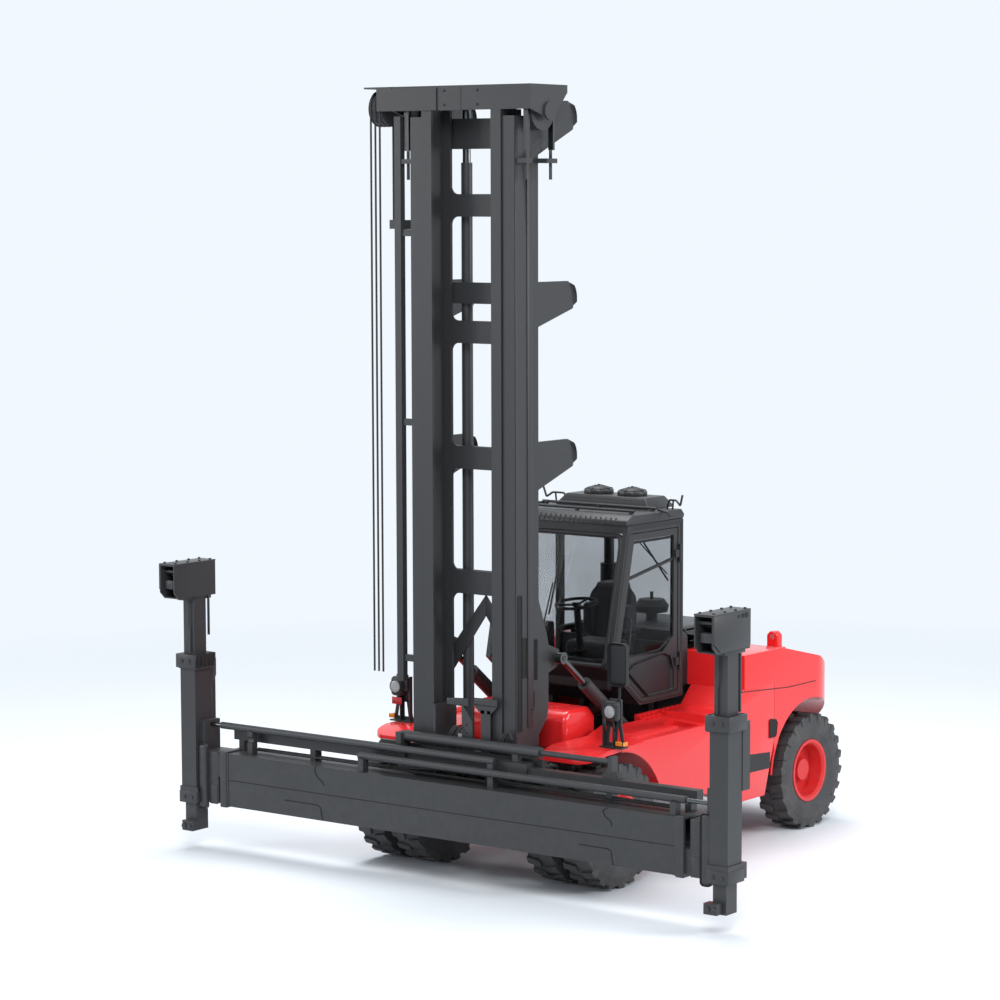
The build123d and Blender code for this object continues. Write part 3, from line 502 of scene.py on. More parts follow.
def soften(piece, width, steps=2, angle=30):
    hold(piece)
    edges = piece.modifiers.new("softEdges", "BEVEL")
    edges.width = width / 1000
    edges.segments = steps
    edges.limit_method = "ANGLE"
    edges.angle_limit = math.radians(angle)
    bpy.ops.object.modifier_apply(modifier=edges.name)


# each cut is a point on its plane and the way to the side that goes
def cutAway(piece, cuts):
    hold(piece)
    bpy.ops.object.mode_set(mode="EDIT")
    for point, away in cuts:
        bpy.ops.mesh.select_all(action="SELECT")
        bpy.ops.mesh.bisect(plane_co=at(*point), plane_no=Vector(away).normalized(), use_fill=True,
                            clear_inner=False, clear_outer=True)
    bpy.ops.object.mode_set(mode="OBJECT")


# rounds the edges that run along one axis and lie near the places given by the other two
def roundAlong(piece, axis, places, radius, steps=7, reach=12):
    number = "xyz".index(axis)
    others = [i for i in range(3) if i != number]
    hold(piece)
    bpy.ops.object.mode_set(mode="EDIT")
    bpy.ops.mesh.select_mode(type="EDGE")
    bpy.ops.mesh.select_all(action="DESELECT")
    mesh = bmesh.from_edit_mesh(piece.data)
    for edge in mesh.edges:
        first, second = (v.co for v in edge.verts)
        along = (second - first).normalized()
        if abs(along[number]) < 0.995:
            continue
        middle = (first + second) / 2
        for place in places:
            full = [0, 0, 0]
            full[others[0]], full[others[1]] = place
            goal = at(*full)
            if max(abs(middle[i] - goal[i]) for i in others) < reach / 1000:
                edge.select = True
    mesh.select_flush(True)
    bmesh.update_edit_mesh(piece.data)
    bpy.ops.mesh.bevel(offset=radius / 1000, segments=steps, clamp_overlap=False)
    bpy.ops.object.mode_set(mode="OBJECT")


def addBlock(x, y, z, cuts=(), soft=0, steps=2):
    clear()
    middle = at(*[(low + high) / 2 for low, high in (x, y, z)])
    bpy.ops.mesh.primitive_cube_add(size=1, location=middle)
    piece = bpy.context.object
    piece.scale = [abs(high - low) / 1000 for low, high in (x, y, z)]
    settle(piece)
    if cuts:
        cutAway(piece, cuts)
    if soft:
        soften(piece, soft, steps)
    return piece


# a plate with a convex outline, given by two coordinates, and its thickness along the third axis
def addPlate(axis, span, outline, corner=0, soft=0):
    number = "xyz".index(axis)
    others = [i for i in range(3) if i != number]
    sides = [None, None, None]
    sides[number] = span
    for i, other in enumerate(others):
        values = [p[i] for p in outline]
        sides[other] = (min(values), max(values))
    middle = [sum(p[i] for p in outline) / len(outline) for i in (0, 1)]
    cuts = []
    for first, second in zip(outline, outline[1:] + outline[:1]):
        run = (second[0] - first[0], second[1] - first[1])
        if 0 in run:
            continue
        away = [run[1], -run[0]]
        if away[0] * (middle[0] - first[0]) + away[1] * (middle[1] - first[1]) > 0:
            away = [-a for a in away]
        point, normal = [0, 0, 0], [0, 0, 0]
        point[number] = sum(span) / 2
        for i, other in enumerate(others):
            point[other] = first[i]
            normal[other] = away[i]
        cuts.append((point, normal))
    piece = addBlock(*sides, cuts=cuts)
    if corner:
        roundAlong(piece, axis, outline, corner, steps=5)
    if soft:
        soften(piece, soft)
    return piece


def addRod(first, second, radius, sides=20, soft=0):
    clear()
    start, end = at(*first), at(*second)
    along = end - start
    turn = along.to_track_quat("Z", "Y").to_euler()
    bpy.ops.mesh.primitive_cylinder_add(vertices=sides, radius=radius / 1000, depth=along.length,
                                        location=(start + end) / 2, rotation=turn)
    piece = bpy.context.object
    settle(piece)
    if soft:
        soften(piece, soft, 2, 50)
    return piece


def addBead(place, radius, squash):
    clear()
    bpy.ops.mesh.primitive_uv_sphere_add(segments=20, ring_count=12, radius=radius / 1000,
                                         location=at(*place))
    piece = bpy.context.object
    piece.scale = (1, 1, squash)
    settle(piece)
    return piece


def addRing(place, axis, radius, thick, sides=40):
    clear()
    turn = Vector(axis).to_track_quat("Z", "Y").to_euler()
    bpy.ops.mesh.primitive_torus_add(location=at(*place), rotation=turn, major_segments=sides,
                                     minor_segments=12, major_radius=radius / 1000,
                                     minor_radius=thick / 1000)
    piece = bpy.context.object
    settle(piece)
    return piece


# a bar through the points, bent round each corner within the length given
def addBar(points, radius, bend, fine=3):
    route = [at(*points[0])]
    for before, corner, after in zip(points, points[1:], points[2:]):
        here = at(*corner)
        for other in (before, after):
            way = at(*other) - here
            step = way.normalized() * min(bend / 1000, way.length * 0.45)
            route.append(here + step)
            if other is before:
                route.append(here)
    route.append(at(*points[-1]))
    piece = makeCurve("bentBar", route, radius / 1000, 6, fine)
    hold(piece)
    bpy.ops.object.convert(target="MESH")
    piece = bpy.context.object
    while piece.data.materials:
        piece.data.materials.pop()
    return piece


def joinPieces(pieces):
    clear()
    for piece in pieces:
        piece.select_set(True)
    bpy.context.view_layer.objects.active = pieces[0]
    if len(pieces) > 1:
        bpy.ops.object.join()
    return bpy.context.object


def combine(piece, tools, operation="DIFFERENCE"):
    tool = joinPieces(list(tools))
    hold(piece)
    cut = piece.modifiers.new("opening", "BOOLEAN")
    cut.object = tool
    cut.operation = operation
    cut.solver = "EXACT"
    bpy.ops.object.modifier_apply(modifier=cut.name)
    bpy.data.objects.remove(tool)
    return piece


def mirrorCopy(piece):
    twin = piece.copy()
    twin.data = piece.data.copy()
    bpy.context.scene.collection.objects.link(twin)
    for vertex in twin.data.vertices:
        vertex.co.x = -vertex.co.x
    twin.data.flip_normals()
    return twin


def bothSides(pieces):
    return list(pieces) + [mirrorCopy(p) for p in pieces]


def nodeCopy(name):
    clear()
    piece = nodes[name].copy()
    piece.data = nodes[name].data.copy()
    bpy.context.scene.collection.objects.link(piece)
    piece.data.materials.clear()
    hold(piece)
    bpy.ops.object.mode_set(mode="EDIT")
    bpy.ops.mesh.select_all(action="SELECT")
    bpy.ops.mesh.remove_doubles(threshold=0.00002)
    bpy.ops.mesh.dissolve_limited(angle_limit=math.radians(0.5))
    bpy.ops.object.mode_set(mode="OBJECT")
    return piece


def finishPiece(name, pieces, body, slot, replaced=(), material=None):
    piece = joinPieces(list(pieces))
    piece.name = name
    piece.data.name = name
    piece.data.materials.clear()
    piece.data.materials.append(material or finishes[slot])
    hold(piece)
    bpy.ops.object.shade_smooth_by_angle(angle=math.radians(32))
    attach(piece, body)
    if replaced:
        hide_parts(*replaced)
    print("  ", name, len(piece.data.polygons))


# counterweight, round at its shoulders and rear corners

weight = {
    "halfWidth": 1235,
    "profile": [(2050, 1480), (2050, 1800), (2700, 1800), (3400, 1640), (3700, 1480), (3845, 1200),
                (3845, 700), (3760, 560), (2565, 560)],
    "plan": ((1500, 3845), (300, 2000)),  # y and z
    "planCorner": 520,
    "rim": 95,
    "openings": (  # x, y and z of the space for the side bodies, the engine and the chassis
        ((-1400, 1400), (1800, 2565), (300, 1480)),
        ((-560, 560), (1990, 3020), (900, 1900)),
        ((-431, 431), (2400, 3715), (300, 1100.3)),
    ),
    "arch": (3226, 550, 705),  # y, z and radius
    "archX": (430, 1400),
    "lug": (905, 3085),
    "lugOutline": [(-62, 1690), (-62, 1850), (-30, 1885), (30, 1885), (62, 1850), (62, 1690)],
    "lugHole": (1835, 27),  # z and radius
    "lugFoot": (90, 70, (1660, 1735)),
    "crease": [(1975, 1468), (2806, 1409), (3300, 1409)],
    "slot": [(2472, 967), (2472, 1134), (2500, 1150), (2590, 1134), (2618, 1100), (2600, 990), (2580, 967)],
    "rearLamp": ((700, 860), (3836, 3850), (1290, 1345)),
}


def makeCounterweight():
    half = weight["halfWidth"]
    y, z = weight["plan"]
    body = addPlate("x", (-half, half), weight["profile"])
    plan = addBlock((-half, half), y, z)
    roundAlong(plan, "z", [(-half, y[1]), (half, y[1])], weight["planCorner"], steps=14)
    combine(body, [plan], "INTERSECT")
    soften(body, weight["rim"], 6, 50)
    for opening in weight["openings"]:
        combine(body, [addBlock(*opening)])
    y, z, radius = weight["arch"]
    near, far = weight["archX"]
    combine(body, [addRod((side * near, y, z), (side * far, y, z), radius, 72) for side in (-1, 1)])
    finishPiece("roundedCounterweight", [body], "root", "body_paint", ["counterweight"])


def makeLiftingLugs():
    x, y = weight["lug"]
    z, radius = weight["lugHole"]
    lug = addPlate("y", (y - 45, y + 45), [(x + a, b) for a, b in weight["lugOutline"]], corner=14, soft=8)
    combine(lug, [addRod((x, y - 80, z), (x, y + 80, z), radius, 28)])
    wide, deep, high = weight["lugFoot"]
    foot = addBlock((x - wide, x + wide), (y - deep, y + deep), high, soft=14, steps=3)
    finishPiece("liftingLugs", bothSides([lug, foot]), "root", "body_paint")


# the crease line, the side slot and the rear lamp recess are near-black pieces: painted shade
def makePanelGapShade():
    half = weight["halfWidth"]
    crease = addBar([(half + 1, y, z) for y, z in weight["crease"]], 4, 30, 1)
    slot = addPlate("x", (half - 3, half + 2), weight["slot"], corner=10)
    lamp = addBlock(*weight["rearLamp"])
    finishPiece("panelGapShade", bothSides([crease, slot, lamp]), "root", "mirror_shell", material=lenses["gap"])


makeCounterweight()
makeLiftingLugs()
makePanelGapShade()
print("counterweight done")


# side bodies with wheel arches, mudguards, a slotted strip and louvres

sideBody = {
    "x": (640, 1235),
    "through": (500, 1300),
    "hull": [(-400, 1120), (-400, 1172), (-150, 1228), (2050, 1480), (2560, 1480), (2560, 930), (2402, 440),
             (2009, 440)],
    "plan": ((-400, 2560), (300, 1600)),  # y and z
    "frontCorner": 190,
    "over": ([(640, 1320), (1880, 1320), (2050, 1482), (2050, 1600), (640, 1600)],
             [(-600, 1229), (380, 1229), (700, 1322), (700, 1600), (-600, 1600)]),
    "deck": ((420, 1470), [(640, 1322), (770, 1262), (1300, 1240), (1300, 1420), (640, 1420)]),
    "edge": 22,
    "arches": ((40, 505, 690), (3226, 550, 705)),  # y, z and radius
    "underGuard": [(-700, 1070), (-400, 1134), (-150, 1188), (60, 1192), (60, 600), (-700, 600)],
    "tiltRoom": ((600, 722), (600, 1122), (900, 1500)),
    "stepWell": ((900, 1180), (1180, 1372), (1000, 1400)),
    "wellCorner": 36,
    "tread": ((905, 1175), (1185, 1367), (1004, 1040)),
    "slots": (1150, 1890, 74),  # first, last and pitch along the cab
    "slotRows": (662, 712),
    "slotSize": (38, 58, (1262, 1400)),
    "louvres": (470, 1130, 33),
    "louvreX": (985, 1125),
    "louvre": [(0, 1228), (0, 1252), (10, 1268), (24, 1240), (24, 1228)],
    "lips": ((28, 88), (147, 175)),  # degrees round each arch
    "lip": (1228, 11),  # x and radius
    "stripe": [(1992, 695), (2494, 684), (2492, 836), (1991, 873)],
    "stripeX": (1228, 1236.5),
}


def cutSlots(body):
    first, last, pitch = sideBody["slots"]
    wide, long, high = sideBody["slotSize"]
    slots = []
    for y in range(first, last, pitch):
        for x in sideBody["slotRows"]:
            slots.append(addBlock((x, x + wide), (y, y + long), high))
    combine(body, slots)


def makeSidePanel():
    through = sideBody["through"]
    y, z = sideBody["plan"]
    body = addPlate("x", sideBody["x"], sideBody["hull"])
    plan = addBlock(sideBody["x"], y, z)
    roundAlong(plan, "z", [(sideBody["x"][1], y[0])], sideBody["frontCorner"], steps=10)
    combine(body, [plan], "INTERSECT")
    for outline in sideBody["over"]:
        combine(body, [addPlate("x", through, outline)])
    combine(body, [addPlate("y", *sideBody["deck"])])
    soften(body, sideBody["edge"], 4, 25)
    front, rear = [addRod((through[0], y, z), (through[1], y, z), radius, 96)
                   for y, z, radius in sideBody["arches"]]
    combine(body, [front])
    combine(body, [addPlate("x", through, sideBody["underGuard"])])
    combine(body, [rear])
    combine(body, [addBlock(*sideBody["tiltRoom"])])
    well = addBlock(*sideBody["stepWell"])
    corners = [(x, y) for x in sideBody["stepWell"][0] for y in sideBody["stepWell"][1]]
    roundAlong(well, "z", corners, sideBody["wellCorner"])
    combine(body, [well])
    cutSlots(body)
    return body


def makeLouvres():
    first, last, pitch = sideBody["louvres"]
    louvres = []
    for y in range(first, last, pitch):
        outline = [(y + a, b) for a, b in sideBody["louvre"]]
        louvres.append(addPlate("x", sideBody["louvreX"], outline, soft=3))
    return louvres


def makeArchLips():
    x, thick = sideBody["lip"]
    lips = []
    for (y, z, radius), (start, end) in zip(sideBody["arches"], sideBody["lips"]):
        points = []
        for angle in range(start, end + 1, 4):
            turn = math.radians(angle)
            points.append((x, y + radius * math.cos(turn), z + radius * math.sin(turn)))
        lips.append(addBar(points, thick, 20, 2))
    return lips


def makeSideBodies():
    pieces = [makeSidePanel()] + makeLouvres() + makeArchLips() + [addBlock(*sideBody["tread"], soft=4)]
    twins = [mirrorCopy(p) for p in pieces]
    finishPiece("sidePanelLeft", pieces, "root", "body_paint", ["side_body_left"])
    finishPiece("sidePanelRight", twins, "root", "body_paint", ["side_body_right"])
    stripe = addPlate("x", sideBody["stripeX"], sideBody["stripe"])
    finishPiece("sideStripe", bothSides([stripe]), "root", "mirror_shell")


makeSideBodies()
print("side bodies done")


# red box between the mast and the cab

frontBox = {
    "profile": [(160, 1101), (160, 1400), (240, 1464), (560, 1464), (640, 1380), (640, 1101)],
    "halfWidth": 552,
    "edge": 45,
    "vents": (300, 360, 420, 480),
    "vent": (380, 1466, 7),  # half length, z and radius
}


def makeFrontBox():
    half = frontBox["halfWidth"]
    box = addPlate("x", (-half, half), frontBox["profile"])
    soften(box, frontBox["edge"], 5, 25)
    x, z, radius = frontBox["vent"]
    vents = [addBar([(-x, y, z), (x, y, z)], radius, 10, 2) for y in frontBox["vents"]]
    finishPiece("frontBox", [box] + vents, "root", "body_paint")


makeFrontBox()
print("front box done")


# engine cover and cowl with rounded shoulders

cover = {
    "halfWidth": 600,
    "top": 2010,
    "profile": [(2049, 1801), (2049, 2010), (2700, 2010), (2920, 1948), (3040, 1868), (3040, 1723),
                (2700, 1801)],
    "inside": [(2067, 1780), (2067, 1990), (2695, 1990), (2910, 1930), (3020, 1855), (3020, 1700)],
    "wall": 22,
    "shape": ((2000, 3100), (1600, 2010)),  # y and z
    "shoulder": 95,
    "edge": 26,
    "groove": [(2080, 1880), (2700, 1880), (2985, 1800)],
    "latch": ((2180, 2240), (1838, 1862)),
    "grip": [(120, 3038, 1800), (120, 3066, 1800), (-120, 3066, 1800), (-120, 3038, 1800)],
    "cowl": ((1850, 2046), (1480, 2010)),
    "cowlInside": ((1872, 2100), (1400, 1986)),
    "ribs": (1880, 2020, 22),  # first, last and pitch
    "ribX": (-430, -330),
}


def roundTop(piece):
    half, top = cover["halfWidth"], cover["top"]
    roundAlong(piece, "y", [(-half, top), (half, top)], cover["shoulder"], steps=8)


def makeHood():
    half, wall = cover["halfWidth"], cover["wall"]
    hood = addPlate("x", (-half, half), cover["profile"])
    shape = addBlock((-half, half), *cover["shape"])
    roundTop(shape)
    combine(hood, [shape], "INTERSECT")
    soften(hood, cover["edge"], 4, 35)
    combine(hood, [addPlate("x", (-half + wall, half - wall), cover["inside"])])
    groove = addBar([(half + 1, y, z) for y, z in cover["groove"]], 4, 40, 1)
    latch = addBlock((half - 2, half + 10), *cover["latch"], soft=4)
    grip = addBar(cover["grip"], 9, 20)
    finishPiece("engineHood", [hood] + bothSides([groove, latch]) + [grip], "hood", "frame_paint", ["hood"])


def makeCowl():
    half, wall = cover["halfWidth"], cover["wall"]
    cowl = addBlock((-half, half), *cover["cowl"])
    roundTop(cowl)
    combine(cowl, [addBlock((-half + wall, half - wall), *cover["cowlInside"])])
    left, right = cover["ribX"]
    height = cover["top"] + 2
    ribs = [addBar([(left, y, height), (right, y, height)], 5, 5, 1) for y in range(*cover["ribs"])]
    finishPiece("engineCowl", [cowl] + ribs, "root", "frame_paint", ["cowl"])


makeHood()
makeCowl()
print("engine cover done")


# cab frame tubes and door trim

cabFrame = {
    "sideX": 680,
    "side": [(1800, 3034), (955, 3034), (682, 1800), (1130, 1440), (1800, 1440)],
    "post": [(1795, 1440), (1795, 3034)],
    "screen": [(-610, 935, 2965), (610, 935, 2965), (640, 905, 2880), (640, 672, 1860), (610, 662, 1815),
               (-610, 662, 1815), (-640, 672, 1860), (-640, 905, 2880), (-610, 935, 2965)],
}
door = {  # each bar's points, radius and bend
    "seal": ([(668, 1150, 1862), (668, 800, 1872), (668, 1030, 2900), (668, 1690, 2900), (668, 1690, 1990),
              (668, 1480, 1880), (668, 1150, 1862)], 12, 60, 2),
    "grip": ([(690, 900, 1905), (722, 905, 1930), (722, 955, 2200), (690, 960, 2225)], 10, 25),
    "handle": ([(690, 1600, 1800), (716, 1600, 1800), (716, 1640, 1690), (690, 1640, 1690)], 12, 25),
    "rail": ([(672, 860, 2560), (672, 1690, 2700)], 16, 5),
    "stayBarrel": ([(650, 1230, 2900), (650, 1640, 2500)], 9, 5),
    "stayRod": ([(640, 1180, 2900), (640, 1640, 2560)], 6, 5),
}
doorPanel = {
    "x": (694, 699),
    "outline": [(1230, 1480), (905, 1740), (1010, 1800), (1480, 1850), (1640, 1790), (1640, 1480)],
}


def makeCabFrame():
    bars = []
    for x in (-cabFrame["sideX"], cabFrame["sideX"]):
        bars.append(addBar([(x, y, z) for y, z in cabFrame["side"]], 27, 120, 4))
        bars.append(addBar([(x, y, z) for y, z in cabFrame["post"]], 30, 10, 4))
    bars.append(addBar(cabFrame["screen"], 24, 60, 3))
    finishPiece("cabTubes", bars, "root", "mirror_shell")


def makeDoorTrim():
    bars = [addBar(*bar) for bar in door.values()]
    panel = addPlate("x", doorPanel["x"], doorPanel["outline"], corner=30, soft=2)
    finishPiece("doorTrim", bars + [panel], "door", "mirror_shell")


makeCabFrame()
makeDoorTrim()
print("cab frame done")


# cab roof with its cooling unit, fans, rails and hooks

roof = {
    "half": 700,
    "profile": [(907, 3060.5), (925, 3105), (1000, 3150), (1800, 3150), (1846, 3100), (1830, 3060.5)],
    "ends": (907, 1846),
    "corner": 60,
    "unit": ((-530, 530), (1500, 1940), (3150, 3252)),
    "unitSlopes": (((0, 1500, 3150), (0, -0.9, 0.62)), ((0, 1940, 3150), (0, 0.86, 0.5)),
                   ((530, 0, 3150), (0.8, 0, 0.62)), ((-530, 0, 3150), (-0.8, 0, 0.62))),
    "fans": (-190, 190),
    "fanY": 1730,
    "fanRadius": 140,
    "blades": 8,
    "railY": (1120, 1460),
    "rail": (640, 3176, 13),  # half length, z and radius
    "railPosts": (-600, 0, 600),
    "railPost": (14, (3146, 3178)),  # half width and z
    "hooks": (([(560, 1760, 3150), (600, 1740, 3230), (700, 1700, 3235), (760, 1680, 3190),
                (790, 1670, 3290)], 10, 30),
              ([(660, 1700, 3150), (670, 1700, 3240)], 9, 10),
              ([(640, 1500, 3160), (760, 1470, 3150), (800, 1460, 3115)], 12, 30)),
    "beads": (-560, 56, 21),  # first, pitch and count
    "bead": ((910, 3072), (945, 3128)),  # y and z of both ends
}
unitHoleShade = {
    "rows": 3,
    "count": 33,
    "first": (-450, 3172),  # x and z
    "pitch": (28, 24),
    "slope": 0.69,
    "radius": 7.5,
}


def makeFan(x):
    y, top = roof["fanY"], roof["unit"][2][1]
    reach = roof["fanRadius"] - 8
    pieces = [addRod((x, y, top - 2), (x, y, top + 40), roof["fanRadius"], 40, 10),
              addBead((x, y, top + 36), reach - 20, 0.34),
              addRod((x, y, top + 60), (x, y, top + 84), 14, 12)]
    for number in range(roof["blades"]):
        turn = number * 2 * math.pi / roof["blades"]
        across, along = math.cos(turn), math.sin(turn)
        pieces.append(addBar([(x + 30 * across, y + 30 * along, top + 74),
                              (x + reach * across, y + reach * along, top + 44)], 5, 5, 1))
    return pieces


def makeRoof():
    half = roof["half"]
    shell = addPlate("x", (-half, half), roof["profile"])
    roundAlong(shell, "z", [(x, y) for x in (half, -half) for y in roof["ends"]], roof["corner"])
    soften(shell, 14, 3, 30)
    unit = addBlock(*roof["unit"], cuts=roof["unitSlopes"])
    soften(unit, 10, 3, 25)
    fans = [piece for x in roof["fans"] for piece in makeFan(x)]
    reach, z, radius = roof["rail"]
    rails = [addBar([(-reach, y, z), (reach, y, z)], radius, 10) for y in roof["railY"]]
    wide, high = roof["railPost"]
    rails += [addBlock((x - wide, x + wide), (y - wide, y + wide), high)
              for x in roof["railPosts"] for y in roof["railY"]]
    hooks = [addBar(*hook) for hook in roof["hooks"]]
    first, pitch, count = roof["beads"]
    places = [first + i * pitch for i in range(count)]
    beads = [addBar([(x, *end) for end in roof["bead"]], 6, 5, 1) for x in places]
    pieces = [shell, unit] + fans + rails + bothSides(hooks) + beads
    finishPiece("cabRoofShell", pieces, "root", "frame_paint", ["cab_roof"])


# near-black rods in rows on the cooling unit's sloped front: painted shade inside its holes
def makeUnitHoleShade():
    low = roof["unit"][2][0]
    front = roof["unit"][1][0]
    (x0, z0), (stepX, stepZ) = unitHoleShade["first"], unitHoleShade["pitch"]
    holes = []
    for row in range(unitHoleShade["rows"]):
        z = z0 + row * stepZ
        y = front + (z - low) * unitHoleShade["slope"]
        for number in range(unitHoleShade["count"]):
            x = x0 + number * stepX + (row % 2) * stepX / 2
            holes.append(addRod((x, y - 1, z + 1), (x, y + 6, z - 4), unitHoleShade["radius"], 8))
    finishPiece("unitHoleShade", holes, "root", "mirror_shell", material=lenses["gap"])


makeRoof()
makeUnitHoleShade()
print("roof done")


# inside of the cab

seat = {
    "cushion": ((-250, 250), (1250, 1700), (1760, 1920)),
    "back": ((-235, 235), (1585, 1735), (1880, 2440)),
    "backSlope": (((0, 1585, 1900), (0, -1, 0.16)),),
    "backCorner": 170,
    "wingX": (-205, 205),
    "wing": (45, (1540, 1700), (1940, 2240)),
    "base": ((-210, 210), (1300, 1660), (1500, 1764)),
    "armX": (-320, 320),
    "arm": (40, (1330, 1640), (1990, 2040)),
}
console = {
    "tower": ((-470, -330), (900, 1230), (1480, 2090)),
    "desk": ((-560, 560), (820, 905), (1560, 1840)),
}
steering = {
    "place": (0, 1110, 2290),
    "tilt": (0, -0.14, 0.99),
    "radius": 190,
    "spokes": (90, 210, 330),  # degrees
    "foot": (0, 1225, 1495),
    "top": (0, 1112, 2270),
    "folds": 7,
}
wiperBars = (([(-120, 655, 1850), (-60, 700, 2200), (-20, 770, 2520)], 7, 40),
             ([(-30, 720, 2230), (10, 838, 2740)], 9, 10))


def makeSeat():
    left, right = seat["back"][0]
    top = seat["back"][2][1]
    cushion = addBlock(*seat["cushion"], soft=58, steps=7)
    back = addBlock(*seat["back"], cuts=seat["backSlope"])
    roundAlong(back, "y", [(left, top), (right, top)], seat["backCorner"], steps=10, reach=40)
    soften(back, 48, 6, 40)
    wide, deep, high = seat["wing"]
    wings = [addBlock((x - wide, x + wide), deep, high, soft=34, steps=5) for x in seat["wingX"]]
    finishPiece("operatorSeat", [cushion, back] + wings, "root", "seat_fabric", ["seat"])


def makeConsole():
    wide, deep, high = seat["arm"]
    pieces = [addBlock(*seat["base"], soft=20, steps=3)]
    pieces += [addBlock((x - wide, x + wide), deep, high, soft=16, steps=3) for x in seat["armX"]]
    pieces.append(addBlock(*console["tower"], soft=24, steps=3))
    pieces.append(addBlock(*console["desk"], soft=30, steps=4))
    finishPiece("cabConsole", pieces, "root", "mirror_shell")


def makeSteering():
    (x, y, z), tilt, radius = steering["place"], steering["tilt"], steering["radius"]
    wheel = [addRing(steering["place"], tilt, radius, 15),
             addRod((0, y - 4, z - 28), (0, y + 2, z + 10), 44, 24, 8)]
    for angle in steering["spokes"]:
        turn = math.radians(angle)
        across, along = (radius - 5) * math.cos(turn), (radius - 5) * math.sin(turn)
        wheel.append(addBar([(x, y, z - 12), (across, y + along, z - along * tilt[1])], 11, 5))
    foot, top = Vector(steering["foot"]), Vector(steering["top"])
    column = [addRod(foot, top, 32, 24)]
    for number in range(steering["folds"]):
        column.append(addRing(foot + (top - foot) * (0.1 + number * 0.06), tilt, 46, 16, 28))
    finishPiece("steeringWheel", wheel + column, "root", "mirror_shell", ["steering_column"])


makeSeat()
makeConsole()
makeSteering()
finishPiece("wiper", [addBar(*bar) for bar in wiperBars], "root", "mirror_shell")
print("cab inside done")


# mast: rounded lugs, cut strips, brace and fillets

mast = {
    "lugTops": (3890, 5273, 6832),
    "lugCorners": ((240, 0), (308, -90), (308, -230)),  # y, and z from the lug's top
    "lugCorner": 48,
    "gussetCorners": [(-97, 1475), (-97, 2141)],
    "gussetCorner": 85,
    "strips": (((566, 573), (-406, -330), (1400, 6500), 2), ((566, 571), (-575, -556), (430, 6600), 1)),
    "brace": [(0, 2514), (0, 2330), (378, 1802), (378, 2029)],
    "braceY": (-262, -246),
    "slots": (((-553, -492), (1385, 2573)), ((-490, -426), (1848, 2200)), ((-300, -269), (1812, 2170))),
    "slotX": (560, 567),
    "window": ((560, 568), (-400, -301), (1556, 1711)),
    "hole": (-412, 2089, 9),  # y, z and radius
    "ties": ((2518, 2728), (3624, 3823), (4728, 4926), (5831, 6027)),
    "tieX": 323,
    "tieY": (-319, -301),
    "fillet": 70,
    "filletCut": (-340, -280),  # y
    "pulleyHub": (753, -340, 6730),
    "bolts": ((-180, 180), (6790, 6910)),  # x and z
    "boltY": (-604, -612),
    "seam": ((-8, 8), (-603, -598), (6746, 6954)),
}


def makeOuterMast():
    piece = nodeCopy("mast_outer")
    corners = [(y, top + z) for top in mast["lugTops"] for y, z in mast["lugCorners"]]
    roundAlong(piece, "x", corners, mast["lugCorner"], steps=6)
    roundAlong(piece, "x", mast["gussetCorners"], mast["gussetCorner"], steps=8)
    finishPiece("outerMast", [piece], "mast", "mast_paint", ["mast_outer"])


def makeMastStrips():
    strips = [addBlock(x, y, z, soft=edge) for x, y, z, edge in mast["strips"]]
    brace = addPlate("y", mast["braceY"], mast["brace"], soft=3)
    finishPiece("mastStrips", bothSides(strips + [brace]), "mast", "mast_paint")


# near-black slots, a window and a hole on the column faces: painted shade inside openings
def makeColumnSlotShade():
    gaps = []
    for y, z in mast["slots"]:
        gap = addBlock(mast["slotX"], y, z)
        roundAlong(gap, "x", [(a, b) for a in y for b in z], 14)
        gaps.append(gap)
    window = addBlock(*mast["window"])
    (low, high), bottom = mast["window"][1], mast["window"][2][0]
    roundAlong(window, "x", [(low, bottom), (high, bottom)], 26)
    y, z, radius = mast["hole"]
    left, right = mast["window"][0]
    hole = addRod((left, y, z), (right, y, z), radius, 16)
    finishPiece("columnSlotShade", bothSides(gaps + [window, hole]), "mast", "mast_paint", material=lenses["gap"])


def makeFillet(z, way):
    radius, x = mast["fillet"], mast["tieX"]
    block = addBlock((x - radius, x), mast["tieY"], sorted((z, z + way * radius)))
    ends = [(x - radius, y, z + way * radius) for y in mast["filletCut"]]
    return combine(block, [addRod(*ends, radius, 40)])


def makeInnerMastTrim():
    fillets = [makeFillet(z, way) for tie in mast["ties"] for z, way in zip(tie, (-1, 1))]
    x, y, z = mast["pulleyHub"]
    hubs = [addRod((x, y, z), (x + 12, y, z), 66, 36, 3), addRod((x + 12, y, z), (x + 19, y, z), 24, 6)]
    hubs += [addRod((x + 12, y + a, z + b), (x + 18, y + a, z + b), 7, 6)
             for a in (-36, 36) for b in (-36, 36)]
    across, up = mast["bolts"]
    near, far = mast["boltY"]
    bolts = [addRod((a, near, b), (a, far, b), 11, 6) for a in across for b in up]
    seam = addBlock(*mast["seam"])
    finishPiece("innerMastTrim", bothSides(fillets + hubs) + bolts + [seam], "inner_mast", "mast_paint")


makeOuterMast()
makeMastStrips()
makeColumnSlotShade()
makeInnerMastTrim()
print("mast done")


# carriage plates, valves and hoses

carriage = {
    "y": (-639, -627),
    "stem": [(230, 1185), (230, 1560), (335, 1560), (335, 1185)],
    "neck": [(230, 1530), (145, 1600), (412, 1600), (335, 1530)],
    "top": [(145, 1598), (145, 1660), (412, 1669), (412, 1598)],
    "arm": [(-150, 1575), (-150, 1635), (95, 1650), (95, 1575)],
    "post": [(20, 1185), (20, 1600), (140, 1445), (140, 1185)],
    "stemHoles": 280,
    "postHoles": 75,
    "holeY": (-660, -600),
    "holeZ": (1260, 1340, 1410),
    "valves": (-120, -40, 440, 520),
    "valve": (60, (-650, -606), (1192, 1250)),
    "hoses": (-110, -85, -30, 450, 475),
    "hose": [(0, -648, 1230), (14, -660, 1330), (60, -640, 1400), (90, -630, 1330)],
}


